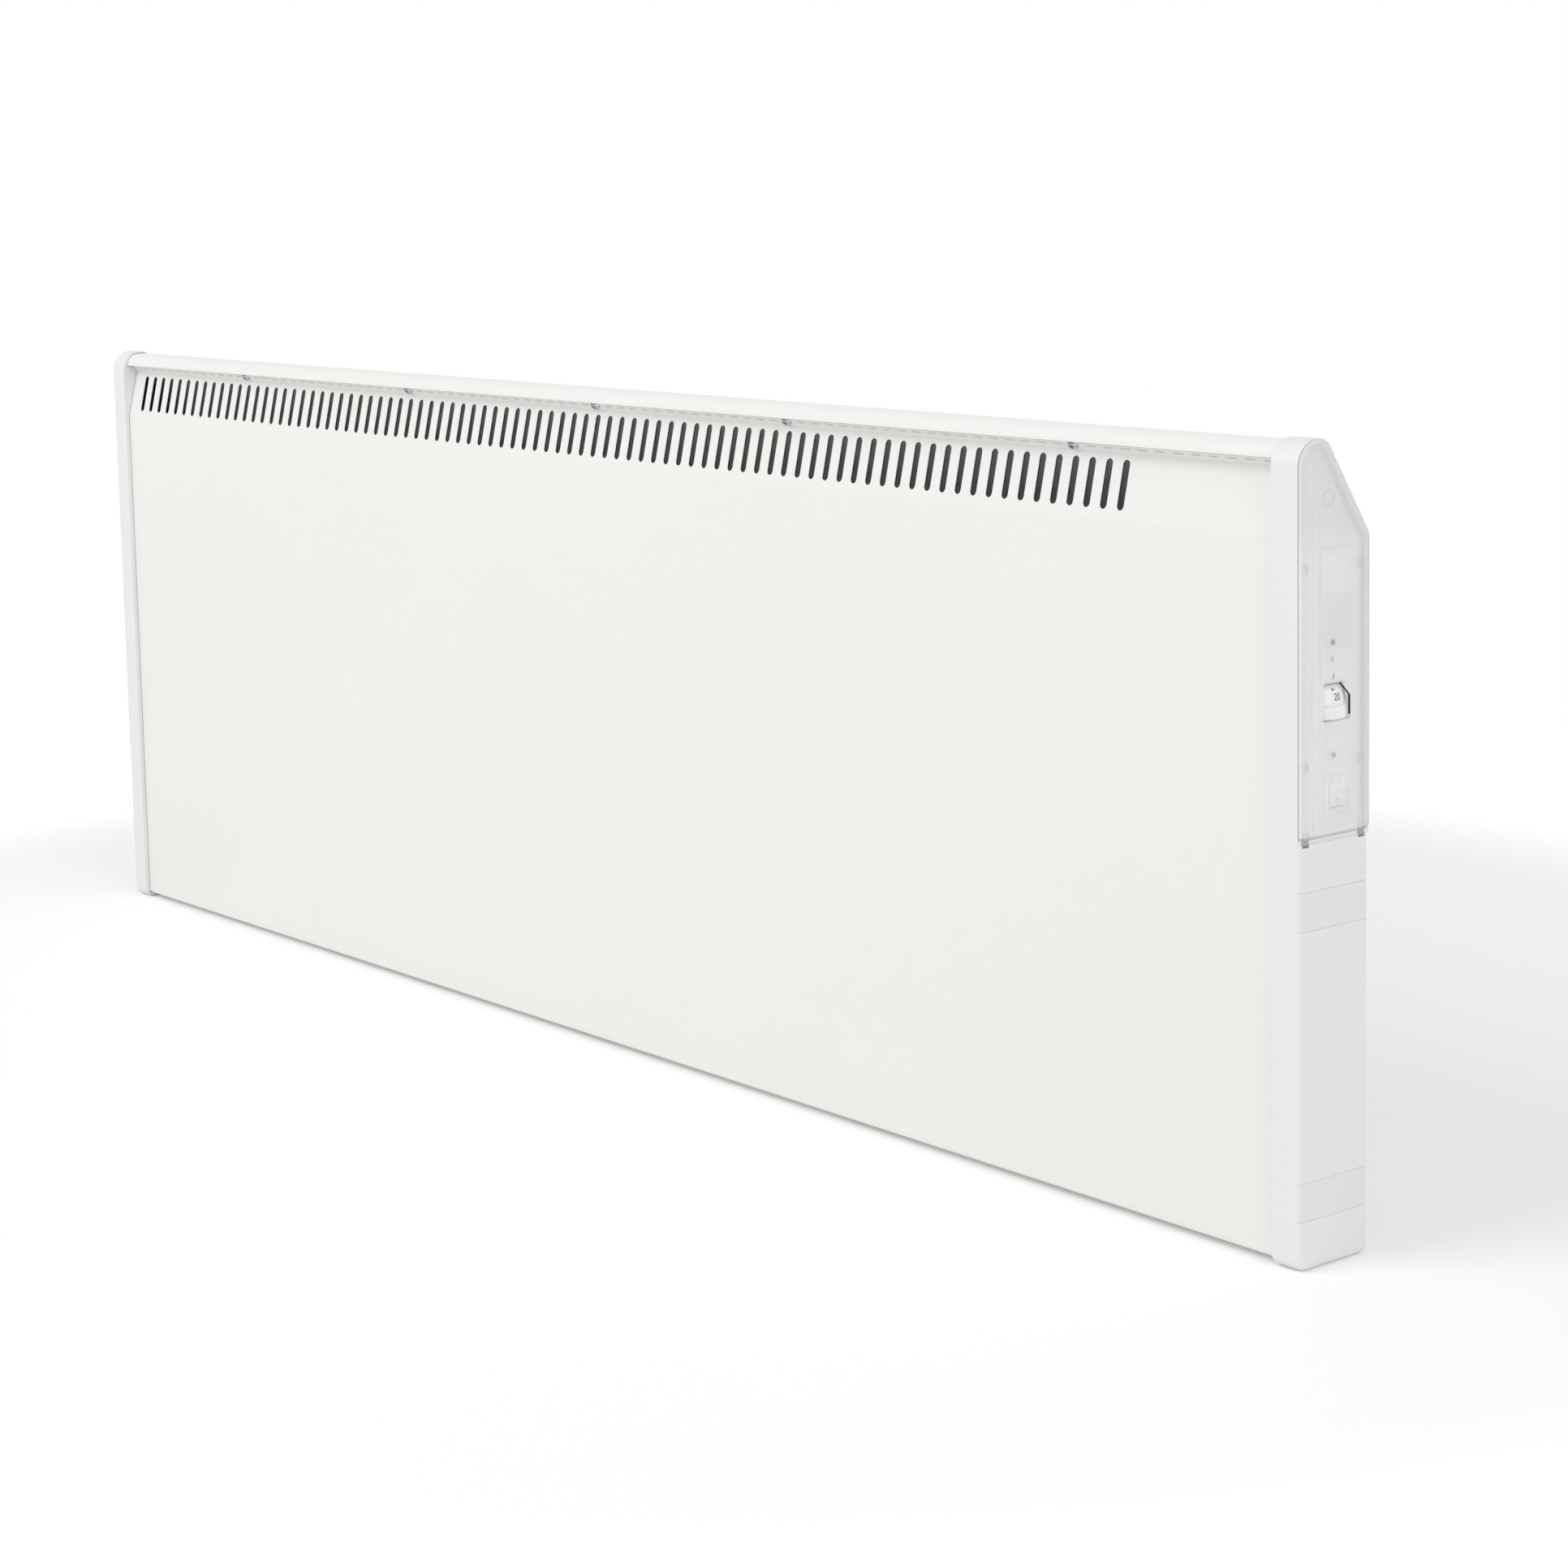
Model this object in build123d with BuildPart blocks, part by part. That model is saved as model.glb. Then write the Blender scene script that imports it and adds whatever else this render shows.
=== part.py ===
from build123d import *
import os
from math import cos, floor, hypot, radians, sin, sqrt

# Wall panel convector heater: a folded steel casing between two moulded end caps, with the
# controls behind a hinged frosted cover on the right-hand end.
# Millimetres. +X runs to the control end, -Y is the front, +Z is up. The origin is on the
# floor line, at the middle of the length and of the depth.

# ---------------------------------------------------------------- driving dimensions

body_length = 1119.0        # over the two end caps
body_depth = 48.0
body_height = 389.0
cover_proud = 2.0           # the side cover stands out of the control end by this much

# end caps, seen from the side
cap_width = 16.8
cap_wall = 2.6
cap_edge_radius = 3.0
nose_radius = 13.0          # front top corner
ridge_inset = 18.7          # from the front face to where the flat top meets the slope
slope_drop = 46.0           # height of the rear slope
ridge_radius = 8.0
shoulder_radius = 8.0
toe_radius = 6.0
heel_radius = 4.0

# clearances between pieces that touch
seat_gap = 0.05             # faces that lie on each other
press_gap = 0.02            # pins, rods and rivets in their holes
thread_gap = 0.05           # screws in tapped holes
slip_gap = 0.1              # sheets and housings that slide together

# folded steel casing
sheet = 1.2
lip_proud = 3.0             # the cap's front lip beyond the front panel
rim_cover = 1.3             # the cap's rim beyond the rail, the slope and the back panel
foot_drop = 2.7             # the caps' feet below the casing
skin_tuck = 8.0             # how far the sheets run into each cap
skin_gap = 0.25
bend_radius = 1.5
lean_height = 45.0          # the front panel leans back over its top this much
lean_depth = 7.3
undercut = 5.4              # 45 degree fold above the lean, carried under the rail
fold_drop = 13.4            # top of the lean, below the body's top
rail_lip_drop = 9.7         # bottom edge of the top rail, below the body's top
rail_radius = 8.3
rail_rear_reach = 9.4       # top rail down the rear slope, along the depth
hem_front = 12.0            # bottom flanges of the front and back panels
hem_rear = 10.0

# air slots and screws of the front panel
slot_width = 4.2
slot_length = 24.6
slot_corner = 1.3           # the ends are cut to this instead of a full round
slot_pitch = 11.65
slot_centre_drop = 28.6     # below the body's top
first_slot_inset = 33.5     # from the left end
control_zone = 118.5        # from the right end to the last slot
screw_slots = (12, 29, 46, 61, 80)   # a rail screw stands over each of these slots
screw_head_radius = 3.2
screw_head_height = 1.9
screw_head_taper = 20.0     # degrees
screw_shank_radius = 1.9
screw_length = 5.4
screw_hole_gap = 0.15

# stiffener inside the rail
stiffener_sheet = 1.0
stiffener_inset = 6.0       # from the ends of the sheets
web_foot = 0.5              # past the foot of the fold
web_head = 2.2              # short of the head of the fold
web_slant = 0.65
strip_edge = 4.2            # short of the slope
back_overlap = 1.3          # the back panel starts this far down the slope

# inner plates and air path
plate_inset = 11.0          # end plates, from the end faces
plate_gap = 0.1             # inner plates inside the bottom grille's flanges
plate_top_gap = 4.0         # below the fold
plate_slope_gap = 0.6
divider_inset = 107.0       # from the right end
baffle_sheet = 0.8
baffle_inset = 7.0          # from the rear face
baffle_low = 30.0
baffle_drop = 62.0
baffle_lean = 6.0
grille_edge = 8.0
inlet_length = 46.0
inlet_width = 6.0
inlet_pitch = 58.0
inlet_rows = 9.0            # between the two rows of inlet holes
inlet_margin = 30.0         # plain stretch at each end

# heating element
element_height = 112.0
element_core_radius = 6.0
element_fin_reach = 15.0
element_fin_sheet = 1.8
element_fin_angle = 38.0
element_end_gap = 30.0      # bare rod at each end
rod_radius = 3.2
bush_radius = 7.0
bush_length = 9.0
bush_flange = 2.0
bracket_count = 3
bracket_sheet = 1.0
bracket_gap = 0.3
bracket_half = 13.0
bracket_foot = 12.0
rod_overrun = 6.0

# side cover, hinged at its bottom edge
cover_height = 186.7        # from the body's top down to the cover's seat
cover_sheet = 1.6
cover_rebate = 0.5          # the cap stands back by this much behind the cover
rebate_gap = 0.2
cover_border = ((0.0, 1.9), (0.5, 0.9), (1.6, 0.3), (4.2, 0.0))   # inset, depth below the face
cover_hollow_inset = 2.2
cover_bottom_gap = 2.7
cover_corner = 3.0
rim_inset = 3.1             # inner rim that drops into the cap
rim_sheet = 1.2
rim_depth = 3.3
rim_lift = 6.0              # the rim stops short of the hinge
hook_length = 6.0
hook_sheet = 0.9
hook_reach = 0.25
hook_heights = (128.0, 36.2)
cover_inset = 0.1
cover_corner_front = 0.6
pocket_depth = 4.0          # recess of the cap behind the cover
pocket_lip = 5.7
shelf = 3.0
ring_radius = 3.7
ring_width = 0.5
ring_depth = 0.3
ring_y = -5.6
ring_height = 159.4
hinge_rise = 0.5            # hinge axis above the cover's seat
hinge_inset = 1.9           # hinge axis inside the end face
hinge_pin_radius = 0.8
hinge_bore_radius = 0.86
ear_radius = 1.5
ear_width = 4.0
ear_rise = 3.0              # up the inside of the cover
ear_inset = 3.0             # from the front and rear faces
ear_gap = 0.3
ear_pocket = 10.0           # open towards the cover
pin_overrun = 1.8
pin_seat_gap = 0.02

# control module, heights above the cover's seat
module_width = 32.0
module_bottom = 7.7
module_top = 135.2
module_wall = 1.6
module_face_inset = 3.4     # from the end face
module_depth = 39.0
module_gap = 0.3
module_flange = 9.0
module_flange_sheet = 1.6
module_screw_radius = 1.5
module_screw_head = 2.6
module_screw_height = 1.6
module_screw_length = 6.0
module_flange_width = 20.0
module_corner = 2.0
relay_width = 12.0
relay_length = 20.0
relay_tall = 10.0
board_inset = 23.0
board_sheet = 1.6
board_gap = 0.2
board_low = 37.2            # the board stops above the switch
lamp_radius = 1.5
lamp_heights = (93.0, 85.1, 40.5)
lamp_forward = 1.6          # from the middle of the depth towards the front
lamp_gap = 0.2              # the light pipes end this far behind the cover
lamp_chamfer = 0.5

# thermostat wheel, on an upright spindle
wheel_radius = 12.0
spindle_inset = 8.4         # its axis, inside the end face
wheel_forward = 0.3         # from the middle of the depth towards the front
wheel_low = 56.7            # above the cover's seat
grip_height = 6.4
dial_height = 9.6
dial_step = 1.4             # the dial's foot, inside the grip
dial_taper = 2.4
spindle_radius = 1.5
spindle_depth = 6.0         # into the potentiometer
spindle_gap = 0.05
spindle_overrun = 0.3
grip_grooves = 36
groove_width = 0.9
groove_depth = 0.4
window_gap = 0.6            # around the wheel
window_gap_rear = 1.4
window_chamfer = 6.2
pot_width = 14.0
pot_height = 9.0
pot_gap = 0.4

# mains switch
switch_height = 22.2        # centre, above the cover's seat
switch_width = 13.0
switch_tall = 19.0
switch_depth = 17.0
switch_bezel = 1.2
switch_bezel_sheet = 1.2
switch_corner = 1.0
blade_length = 8.0
blade_pitch = 8.0
blade_width = 6.3
blade_sheet = 0.8
rocker_width = 9.8
rocker_tall = 15.4
rocker_gap = 0.35
rocker_inset = 1.2          # pivot behind the module's face
rocker_ridge = 2.9          # middle of the rocker, from the pivot
rocker_rise = 1.0           # its two ends stand this much further out
rocker_back = 3.0
rocker_room = 1.6           # behind the rocker
rocker_tilt = 8.0           # rests this far to one side
trunnion_radius = 1.0
trunnion_length = 0.9
trunnion_gap = 0.06
switch_rearward = 4.0       # from the middle of the depth

# snap-in bands over the cap screws
band_height = 18.6
band_sheet = 1.2
band_gap = 0.12
upper_band_drop = 40.7      # bottom of the upper band, below the cover's seat
lower_band_bottom = 23.9
cap_screw_radius = 1.9
cap_screw_head = 3.6
cap_screw_head_height = 2.2
head_gap = 0.2
boss_radius = 5.0
boss_gap = 0.1
cap_screw_overrun = 3.0

# wall fixing slots, cable gland and small parts
hook_spacing_x = 640.0
hook_spacing_z = 210.0
hook_centre_height = 185.0
hook_slot_length = 16.0
hook_slot_width = 7.0
gland_height = 46.0
gland_from_end = 62.0
gland_bore_radius = 4.5
gland_body_radius = 7.0
gland_flange_radius = 10.0
gland_flange = 2.5
gland_length = 16.0
gland_back_inset = 0.2
block_height = 84.0
block_from_end = 66.0
block_size = (34.0, 16.0, 20.0)
block_screw_radius = 2.4
block_chamfer = 3.0
cutout_drop = 96.0
cutout_radius = 8.0
cutout_length = 6.0
cutout_flange = 1.0
cutout_ears = 29.0
cutout_cap = 2.0
sensor_radius = 2.5
sensor_length = 16.0
sensor_from_end = 42.0
rivet_spacing = 340.0
rivet_edge = 3.6            # from the edge of the rail's flange
rivet_head_radius = 3.0
rivet_head_height = 0.9
rivet_radius = 1.6
rivet_length = 5.0

# ---------------------------------------------------------------- derived places

wheel_proud = wheel_radius - spindle_inset - cover_proud    # beyond the cover's face
x_left = -(body_length + cover_proud + max(wheel_proud, 0)) / 2
x_right = x_left + body_length
y_front = -body_depth / 2
y_rear = body_depth / 2
seat_z = body_height - cover_height
face_x = x_right - module_face_inset
plate_x = x_right - plate_inset
divider_x = x_right - divider_inset
slope_run = body_depth - ridge_inset
slope_angle_length = hypot(slope_run, slope_drop)

panel_y = y_front + lip_proud                       # outer face of the front panel
back_y = y_rear - rim_cover                         # outer face of the back panel
casing_z = foot_drop                                # underside of the casing
bend_z = body_height - lean_height
fold_y = panel_y + lean_depth
fold_z = body_height - fold_drop
fold_sit = (1.5 * sqrt(0.5) - 1) * sheet / 2        # its outer face, inside the line of its ends
screw_seat = press_gap - fold_sit
plate_clear = sheet + slip_gap + plate_gap
lip_z = body_height - rail_lip_drop
rail_top_z = body_height - rim_cover
skin_left = x_left + cap_width - skin_tuck
skin_right = x_right - cap_width + skin_tuck
skin_length = skin_right - skin_left
first_slot_x = x_left + first_slot_inset
slot_count = floor((body_length - first_slot_inset - control_zone) / slot_pitch + 0.01) + 1
slot_xs = [first_slot_x + index * slot_pitch for index in range(slot_count)]
screw_xs = [slot_xs[index] for index in screw_slots if index < slot_count]
wheel_x = x_right - spindle_inset
dial_base_radius = wheel_radius - dial_step
dial_top_radius = dial_base_radius - dial_taper
wheel_z = seat_z + wheel_low
hinge_x = x_right - hinge_inset
hinge_z = seat_z + hinge_rise
element_y = (panel_y + y_rear - baffle_inset) / 2
upper_band_z = seat_z - upper_band_drop


def slope_z(y, inset):
    # height of the rear slope at y, drawn in by inset square to the slope
    drop = (y - y_front - ridge_inset) * slope_drop / slope_run
    return body_height - drop - inset * slope_angle_length / slope_run


def slope_y(z, inset):
    rise = body_height - inset * slope_angle_length / slope_run - z
    return y_front + ridge_inset + rise * slope_run / slope_drop


# ---------------------------------------------------------------- shared outlines


def side_view(inset=0.0, low=0.0, front_corner=toe_radius, rear_corner=heel_radius):
    # the end caps' outline seen from the side, drawn in by inset, down to the height low
    top = body_height - inset
    corners = (
        (y_front + inset, low),
        (y_front + inset, top),
        (slope_y(top, inset), top),
        (y_rear - inset, slope_z(y_rear - inset, inset)),
        (y_rear - inset, low),
    )
    radii = (
        front_corner,
        max(nose_radius - inset, 0.5),
        max(ridge_radius - inset, 0.5),
        max(shoulder_radius - inset, 0.5),
        rear_corner,
    )
    with BuildSketch() as outline:
        with BuildLine():
            FilletPolyline(*corners, radius=radii, close=True)
        make_face()
    return outline.sketch


def casing_section(grow=0.0):
    # outer section of the folded sheets, with the undercut below the rail
    corners = (
        (panel_y, casing_z),
        (panel_y, bend_z),
        (fold_y, fold_z),
        (fold_y - (lip_z - fold_z), lip_z),
        (panel_y, lip_z),
        (panel_y, rail_top_z),
        (slope_y(rail_top_z, rim_cover), rail_top_z),
        (back_y, slope_z(back_y, rim_cover)),
        (back_y, casing_z),
    )
    radii = (bend_radius, 0, 0, 0, 0, rail_radius, rail_radius / 2, bend_radius, bend_radius)
    with BuildSketch() as outline:
        with BuildLine():
            FilletPolyline(*corners, radius=radii, close=True)
        make_face()
        if grow:
            offset(amount=grow, kind=Kind.INTERSECTION)
    return outline.sketch


def inner_plate_section():
    # section of the plates that stand inside the casing
    front = panel_y + sheet + plate_clear
    rear = back_y - sheet - plate_clear
    low = casing_z + 2 * sheet + seat_gap + bend_radius
    top = fold_z - plate_top_gap
    slope_inset = rim_cover + 2 * sheet + plate_clear + plate_slope_gap
    corners = (
        (front, low),
        (front, bend_z),
        (fold_y + sheet + plate_clear, top),
        (slope_y(top, slope_inset), top),
        (rear, slope_z(rear, slope_inset)),
        (rear, low),
    )
    with BuildSketch() as outline:
        with BuildLine():
            Polyline(*corners, close=True)
        make_face()
    return outline.sketch


def element_section(grow=0.0):
    # cross fins around the round core
    with BuildSketch() as outline:
        with Locations((element_y, element_height)):
            Circle(element_core_radius + grow)
            for turn in (element_fin_angle, -element_fin_angle):
                Rectangle(
                    2 * (element_fin_reach + grow),
                    element_fin_sheet + 2 * grow,
                    rotation=turn,
                )
    return outline.sketch


# ---------------------------------------------------------------- folded steel casing

# front panel: bottom hem, upright face, leaning grille and the 45 degree fold under the rail
fold_end_y = fold_y - undercut
fold_end_z = fold_z + undercut
half = sheet / 2

with BuildPart() as front_panel:
    with BuildSketch(Plane.YZ.offset(skin_left)):
        with BuildLine():
            FilletPolyline(
                (panel_y + hem_front, casing_z + half),
                (panel_y + half, casing_z + half),
                (panel_y + half, bend_z),
                (fold_y + half, fold_z + half * 0.5),
                (fold_end_y + half, fold_end_z + half * 0.5),
                radius=(bend_radius, 6.0, bend_radius),
            )
        trace(line_width=sheet)
    extrude(amount=skin_length)
    lean = Plane(
        origin=(0, panel_y + lean_depth / 2, body_height - slot_centre_drop),
        x_dir=(1, 0, 0),
        z_dir=(0, -(fold_z - bend_z), lean_depth),
    )
    with BuildSketch(lean) as slots:
        with Locations(*[(x, 0) for x in slot_xs]):
            Rectangle(slot_width, slot_length)
        chamfer(slots.vertices(), slot_corner)
    extrude(amount=6, both=True, mode=Mode.SUBTRACT)
    undercut_face = Plane(
        origin=(0, fold_y - undercut / 2, fold_z + undercut / 2),
        x_dir=(1, 0, 0),
        z_dir=(0, -1, -1),
    )
    with BuildSketch(undercut_face):
        with Locations(*[(x, 0) for x in screw_xs]):
            Circle(screw_shank_radius + screw_hole_gap)
    extrude(amount=4, both=True, mode=Mode.SUBTRACT)
front_panel.part.label = "front_panel"

# top rail: small lip, rounded nose, flat top and a flange down the rear slope
rail_end_y = y_front + ridge_inset + rail_rear_reach
rivet_y = rail_end_y - rivet_edge
rivet_plane = Plane(
    origin=(0, rivet_y, slope_z(rivet_y, rim_cover)),
    x_dir=(1, 0, 0),
    z_dir=(0, slope_drop, slope_run),
)
rivet_count = floor(skin_length / rivet_spacing)
rivet_xs = [(index - (rivet_count - 1) / 2) * rivet_spacing for index in range(rivet_count)]
with BuildPart() as top_rail:
    with BuildSketch(Plane.YZ.offset(skin_left)):
        with BuildLine():
            FilletPolyline(
                (panel_y + half, lip_z),
                (panel_y + half, rail_top_z - half),
                (slope_y(rail_top_z - half, rim_cover + half), rail_top_z - half),
                (rail_end_y, slope_z(rail_end_y, rim_cover + half)),
                radius=(rail_radius - half, rail_radius / 2),
            )
        trace(line_width=sheet)
    extrude(amount=skin_length)
    with BuildSketch(rivet_plane):
        with Locations(*[(x, 0) for x in rivet_xs]):
            Circle(rivet_radius + press_gap)
    extrude(amount=-rivet_length, mode=Mode.SUBTRACT)
top_rail.part.label = "top_rail"

# stiffener inside the rail, with the tapped web that takes the rail screws
web_shift = (sheet + slip_gap + stiffener_sheet / 2) * sqrt(0.5)
web_low = (fold_y + web_shift + web_foot, fold_z + web_shift - web_foot)
web_high = (fold_end_y + web_head + web_shift, fold_end_z - web_head + web_shift)
strip_z = rail_top_z - sheet - stiffener_sheet / 2 - seat_gap
with BuildPart() as rail_stiffener:
    with BuildSketch(Plane.YZ.offset(skin_left + stiffener_inset)):
        with BuildLine():
            FilletPolyline(
                web_low,
                web_high,
                (web_high[0] + web_slant * (strip_z - web_high[1]), strip_z),
                (y_front + ridge_inset - strip_edge, strip_z),
                radius=(1.0, 0.7),
            )
        trace(line_width=stiffener_sheet)
    extrude(amount=skin_length - 2 * stiffener_inset)
    with BuildSketch(undercut_face):
        with Locations(*[(x, 0) for x in screw_xs]):
            Circle(screw_shank_radius + thread_gap)
    extrude(amount=6, both=True, mode=Mode.SUBTRACT)
rail_stiffener.part.label = "rail_stiffener"

# back panel: bottom hem, upright face with the wall slots, and the slope under the rail
inner_slope = rim_cover + sheet + slip_gap + half
back_top_y = y_front + ridge_inset + back_overlap
with BuildPart() as back_panel:
    with BuildSketch(Plane.YZ.offset(skin_left)):
        with BuildLine():
            FilletPolyline(
                (back_y - hem_rear, casing_z + half),
                (back_y - half, casing_z + half),
                (back_y - half, slope_z(back_y - half, inner_slope)),
                (back_top_y, slope_z(back_top_y, inner_slope)),
                radius=(bend_radius, bend_radius),
            )
        trace(line_width=sheet)
    extrude(amount=skin_length)
    with BuildSketch(Plane.XZ.offset(-y_rear)):
        with Locations((0, hook_centre_height)):
            with GridLocations(hook_spacing_x, hook_spacing_z, 2, 2):
                SlotOverall(hook_slot_length, hook_slot_width)
        with Locations((x_right - gland_from_end, gland_height)):
            Circle(gland_body_radius + slip_gap)
    extrude(amount=5, mode=Mode.SUBTRACT)
    with BuildSketch(rivet_plane):
        with Locations(*[(x, 0) for x in rivet_xs]):
            Circle(rivet_radius + press_gap)
    extrude(amount=-rivet_length, mode=Mode.SUBTRACT)
back_panel.part.label = "back_panel"

# bottom grille: shallow channel with two rows of inlet holes, on top of the two hems
grille_z = casing_z + sheet + seat_gap + half
inlet_count = floor((skin_length - 2 * inlet_margin) / inlet_pitch)
with BuildPart() as bottom_grille:
    with BuildSketch(Plane.YZ.offset(skin_left + 1)):
        with BuildLine():
            FilletPolyline(
                (panel_y + sheet + slip_gap + half, grille_z + grille_edge),
                (panel_y + sheet + slip_gap + half, grille_z),
                (back_y - sheet - slip_gap - half, grille_z),
                (back_y - sheet - slip_gap - half, grille_z + grille_edge),
                radius=bend_radius,
            )
        trace(line_width=sheet)
    extrude(amount=skin_length - 2)
    with BuildSketch(Plane.XY):
        with Locations((0, (hem_front - hem_rear + lip_proud - rim_cover) / 2)):
            with GridLocations(inlet_pitch, inlet_rows, inlet_count, 2):
                Rectangle(inlet_length, inlet_width)
    extrude(amount=grille_z + 2, mode=Mode.SUBTRACT)
bottom_grille.part.label = "bottom_grille"

# ---------------------------------------------------------------- end caps


with BuildPart() as rounded_end:
    # the full outer form of the control end, rounded at its end face
    with BuildSketch(Plane.YZ.offset(x_right - cap_width)):
        add(side_view())
    extrude(amount=cap_width)
    fillet(rounded_end.faces().sort_by(Axis.X)[-1].edges(), cap_edge_radius)

ear_spans = (
    (y_front + ear_inset, y_front + ear_inset + ear_width),
    (y_rear - ear_inset - ear_width, y_rear - ear_inset),
)
module_low = seat_z + module_bottom
module_high = seat_z + module_top
band_lows = (lower_band_bottom, upper_band_z)
pocket_x = hinge_x - ear_radius - ear_gap + ear_pocket / 2
pocket_top = seat_z + cover_bottom_gap + ear_rise + ear_gap

with BuildPart() as right_end_cap:
    add(rounded_end.part)
    # above the cover's seat the end stands back, square edged, for the cover
    with BuildSketch(Plane.XY.offset(seat_z)):
        with Locations((x_right - cap_width / 2, 0)):
            Rectangle(cap_width + 1, body_depth + 1)
    extrude(amount=cover_height + 1, mode=Mode.SUBTRACT)
    with BuildSketch(Plane.YZ.offset(x_right - cap_width)):
        add(side_view(low=seat_z, front_corner=0, rear_corner=0))
    extrude(amount=cap_width - cover_rebate)
    # hollow for the sheets and the inner parts, closed by a shelf below the cover's seat
    with BuildSketch(Plane.YZ.offset(x_right - cap_width)):
        add(casing_section(skin_gap))
    extrude(amount=cap_width - pocket_depth - cap_wall, mode=Mode.SUBTRACT)
    with BuildSketch(Plane.YZ.offset(x_right - cap_width)):
        add(casing_section(skin_gap))
        with Locations((0, seat_z - shelf + body_height / 2)):
            Rectangle(body_depth + 2, body_height, mode=Mode.SUBTRACT)
    extrude(amount=cap_width - cap_wall, mode=Mode.SUBTRACT)
    # recess behind the cover
    with BuildSketch(Plane.YZ.offset(x_right - pocket_depth)):
        add(side_view(cap_wall, seat_z + pocket_lip, 0.5, 0.5))
    extrude(amount=pocket_depth + 1, mode=Mode.SUBTRACT)
    # window for the control module
    with BuildSketch(Plane.YZ.offset(x_right - cap_width)):
        with Locations((0, (module_low + module_high) / 2)):
            Rectangle(module_width + 2 * module_gap, module_high - module_low + 2 * module_gap)
    extrude(amount=cap_width + 1, mode=Mode.SUBTRACT)
    # pockets and pin holes of the cover's hinge
    for low, high in ear_spans:
        with BuildSketch(Plane.XZ.offset(-(high + ear_gap))):
            with Locations((pocket_x, hinge_z)):
                Rectangle(ear_pocket, 2 * (ear_radius + ear_gap))
            with Locations((pocket_x, (hinge_z + pocket_top) / 2)):
                Rectangle(ear_pocket, pocket_top - hinge_z)
        extrude(amount=high - low + 2 * ear_gap, mode=Mode.SUBTRACT)
        with BuildSketch(Plane.XZ.offset(-(high + pin_overrun))):
            with Locations((hinge_x, hinge_z)):
                Circle(hinge_pin_radius + pin_seat_gap)
        extrude(amount=high - low + 2 * pin_overrun, mode=Mode.SUBTRACT)
    # bosses and screw holes under the bands, and the bands' recesses
    for band_low in band_lows:
        middle = (0, band_low + band_height / 2)
        with BuildSketch(Plane.YZ.offset(plate_x + boss_gap)):
            with Locations(middle):
                Circle(boss_radius)
        extrude(amount=plate_inset - boss_gap - cap_wall)
        with BuildSketch(Plane.YZ.offset(x_right - cap_width)):
            with Locations(middle):
                Circle(cap_screw_radius + screw_hole_gap)
        extrude(amount=cap_width + 1, mode=Mode.SUBTRACT)
        with BuildSketch(Plane.YZ.offset(x_right - band_sheet - cap_screw_head_height - slip_gap)):
            with Locations(middle):
                Circle(cap_screw_head + head_gap)
        extrude(amount=cap_width, mode=Mode.SUBTRACT)
        with BuildSketch(Plane.YZ.offset(x_right - band_sheet)):
            with Locations(middle):
                Rectangle(body_depth + 2, band_height)
        extrude(amount=band_sheet + 1, mode=Mode.SUBTRACT)
right_end_cap.part.label = "right_end_cap"

with BuildPart() as left_end_cap:
    with BuildSketch(Plane.YZ.offset(x_left)):
        add(side_view())
    extrude(amount=cap_width)
    fillet(left_end_cap.faces().sort_by(Axis.X)[0].edges(), cap_edge_radius)
    with BuildSketch(Plane.YZ.offset(x_left + cap_wall)):
        add(casing_section(skin_gap))
    extrude(amount=cap_width, mode=Mode.SUBTRACT)
    for band_low in band_lows:
        with BuildSketch(Plane.YZ.offset(x_left + cap_wall)):
            with Locations((0, band_low + band_height / 2)):
                Circle(boss_radius)
        extrude(amount=plate_inset - cap_wall - boss_gap)
        with BuildSketch(Plane.YZ.offset(x_left - 1)):
            with Locations((0, band_low + band_height / 2)):
                Circle(cap_screw_radius + screw_hole_gap)
        extrude(amount=cap_width, mode=Mode.SUBTRACT)
        with BuildSketch(Plane.YZ.offset(x_left - 1)):
            with Locations((0, band_low + band_height / 2)):
                Circle(cap_screw_head + head_gap)
        extrude(amount=1 + cap_screw_head_height + slip_gap, mode=Mode.SUBTRACT)
left_end_cap.part.label = "left_end_cap"


def make_band(band_low):
    # a slice of the rounded end, sprung into its recess
    with BuildPart() as band:
        add(rounded_end.part)
        with BuildSketch(Plane.YZ.offset(x_right - band_sheet + seat_gap)):
            with Locations((0, band_low + band_height / 2)):
                Rectangle(body_depth + 2, band_height - 2 * band_gap)
        extrude(amount=band_sheet + 1, mode=Mode.INTERSECT)
    return band.part


with BuildPart() as upper_band_cover:
    add(make_band(upper_band_z))
upper_band_cover.part.label = "upper_band_cover"

with BuildPart() as lower_band_cover:
    add(make_band(lower_band_bottom))
lower_band_cover.part.label = "lower_band_cover"

# ---------------------------------------------------------------- side cover

cover_x = x_right - cover_rebate + rebate_gap
cover_face_x = x_right + cover_proud
cover_back_x = cover_face_x - cover_sheet
cover_low = seat_z + cover_bottom_gap
wheel_y = -wheel_forward
wheel_top = wheel_z + grip_height + dial_height
chord = sqrt(wheel_radius ** 2 - (cover_back_x - wheel_x) ** 2)
window_front = wheel_y - chord - window_gap
window_rear = wheel_y + chord + window_gap_rear
window_low = wheel_z - window_gap
window_high = wheel_top + window_gap
ear_top = cover_low + ear_rise

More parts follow.
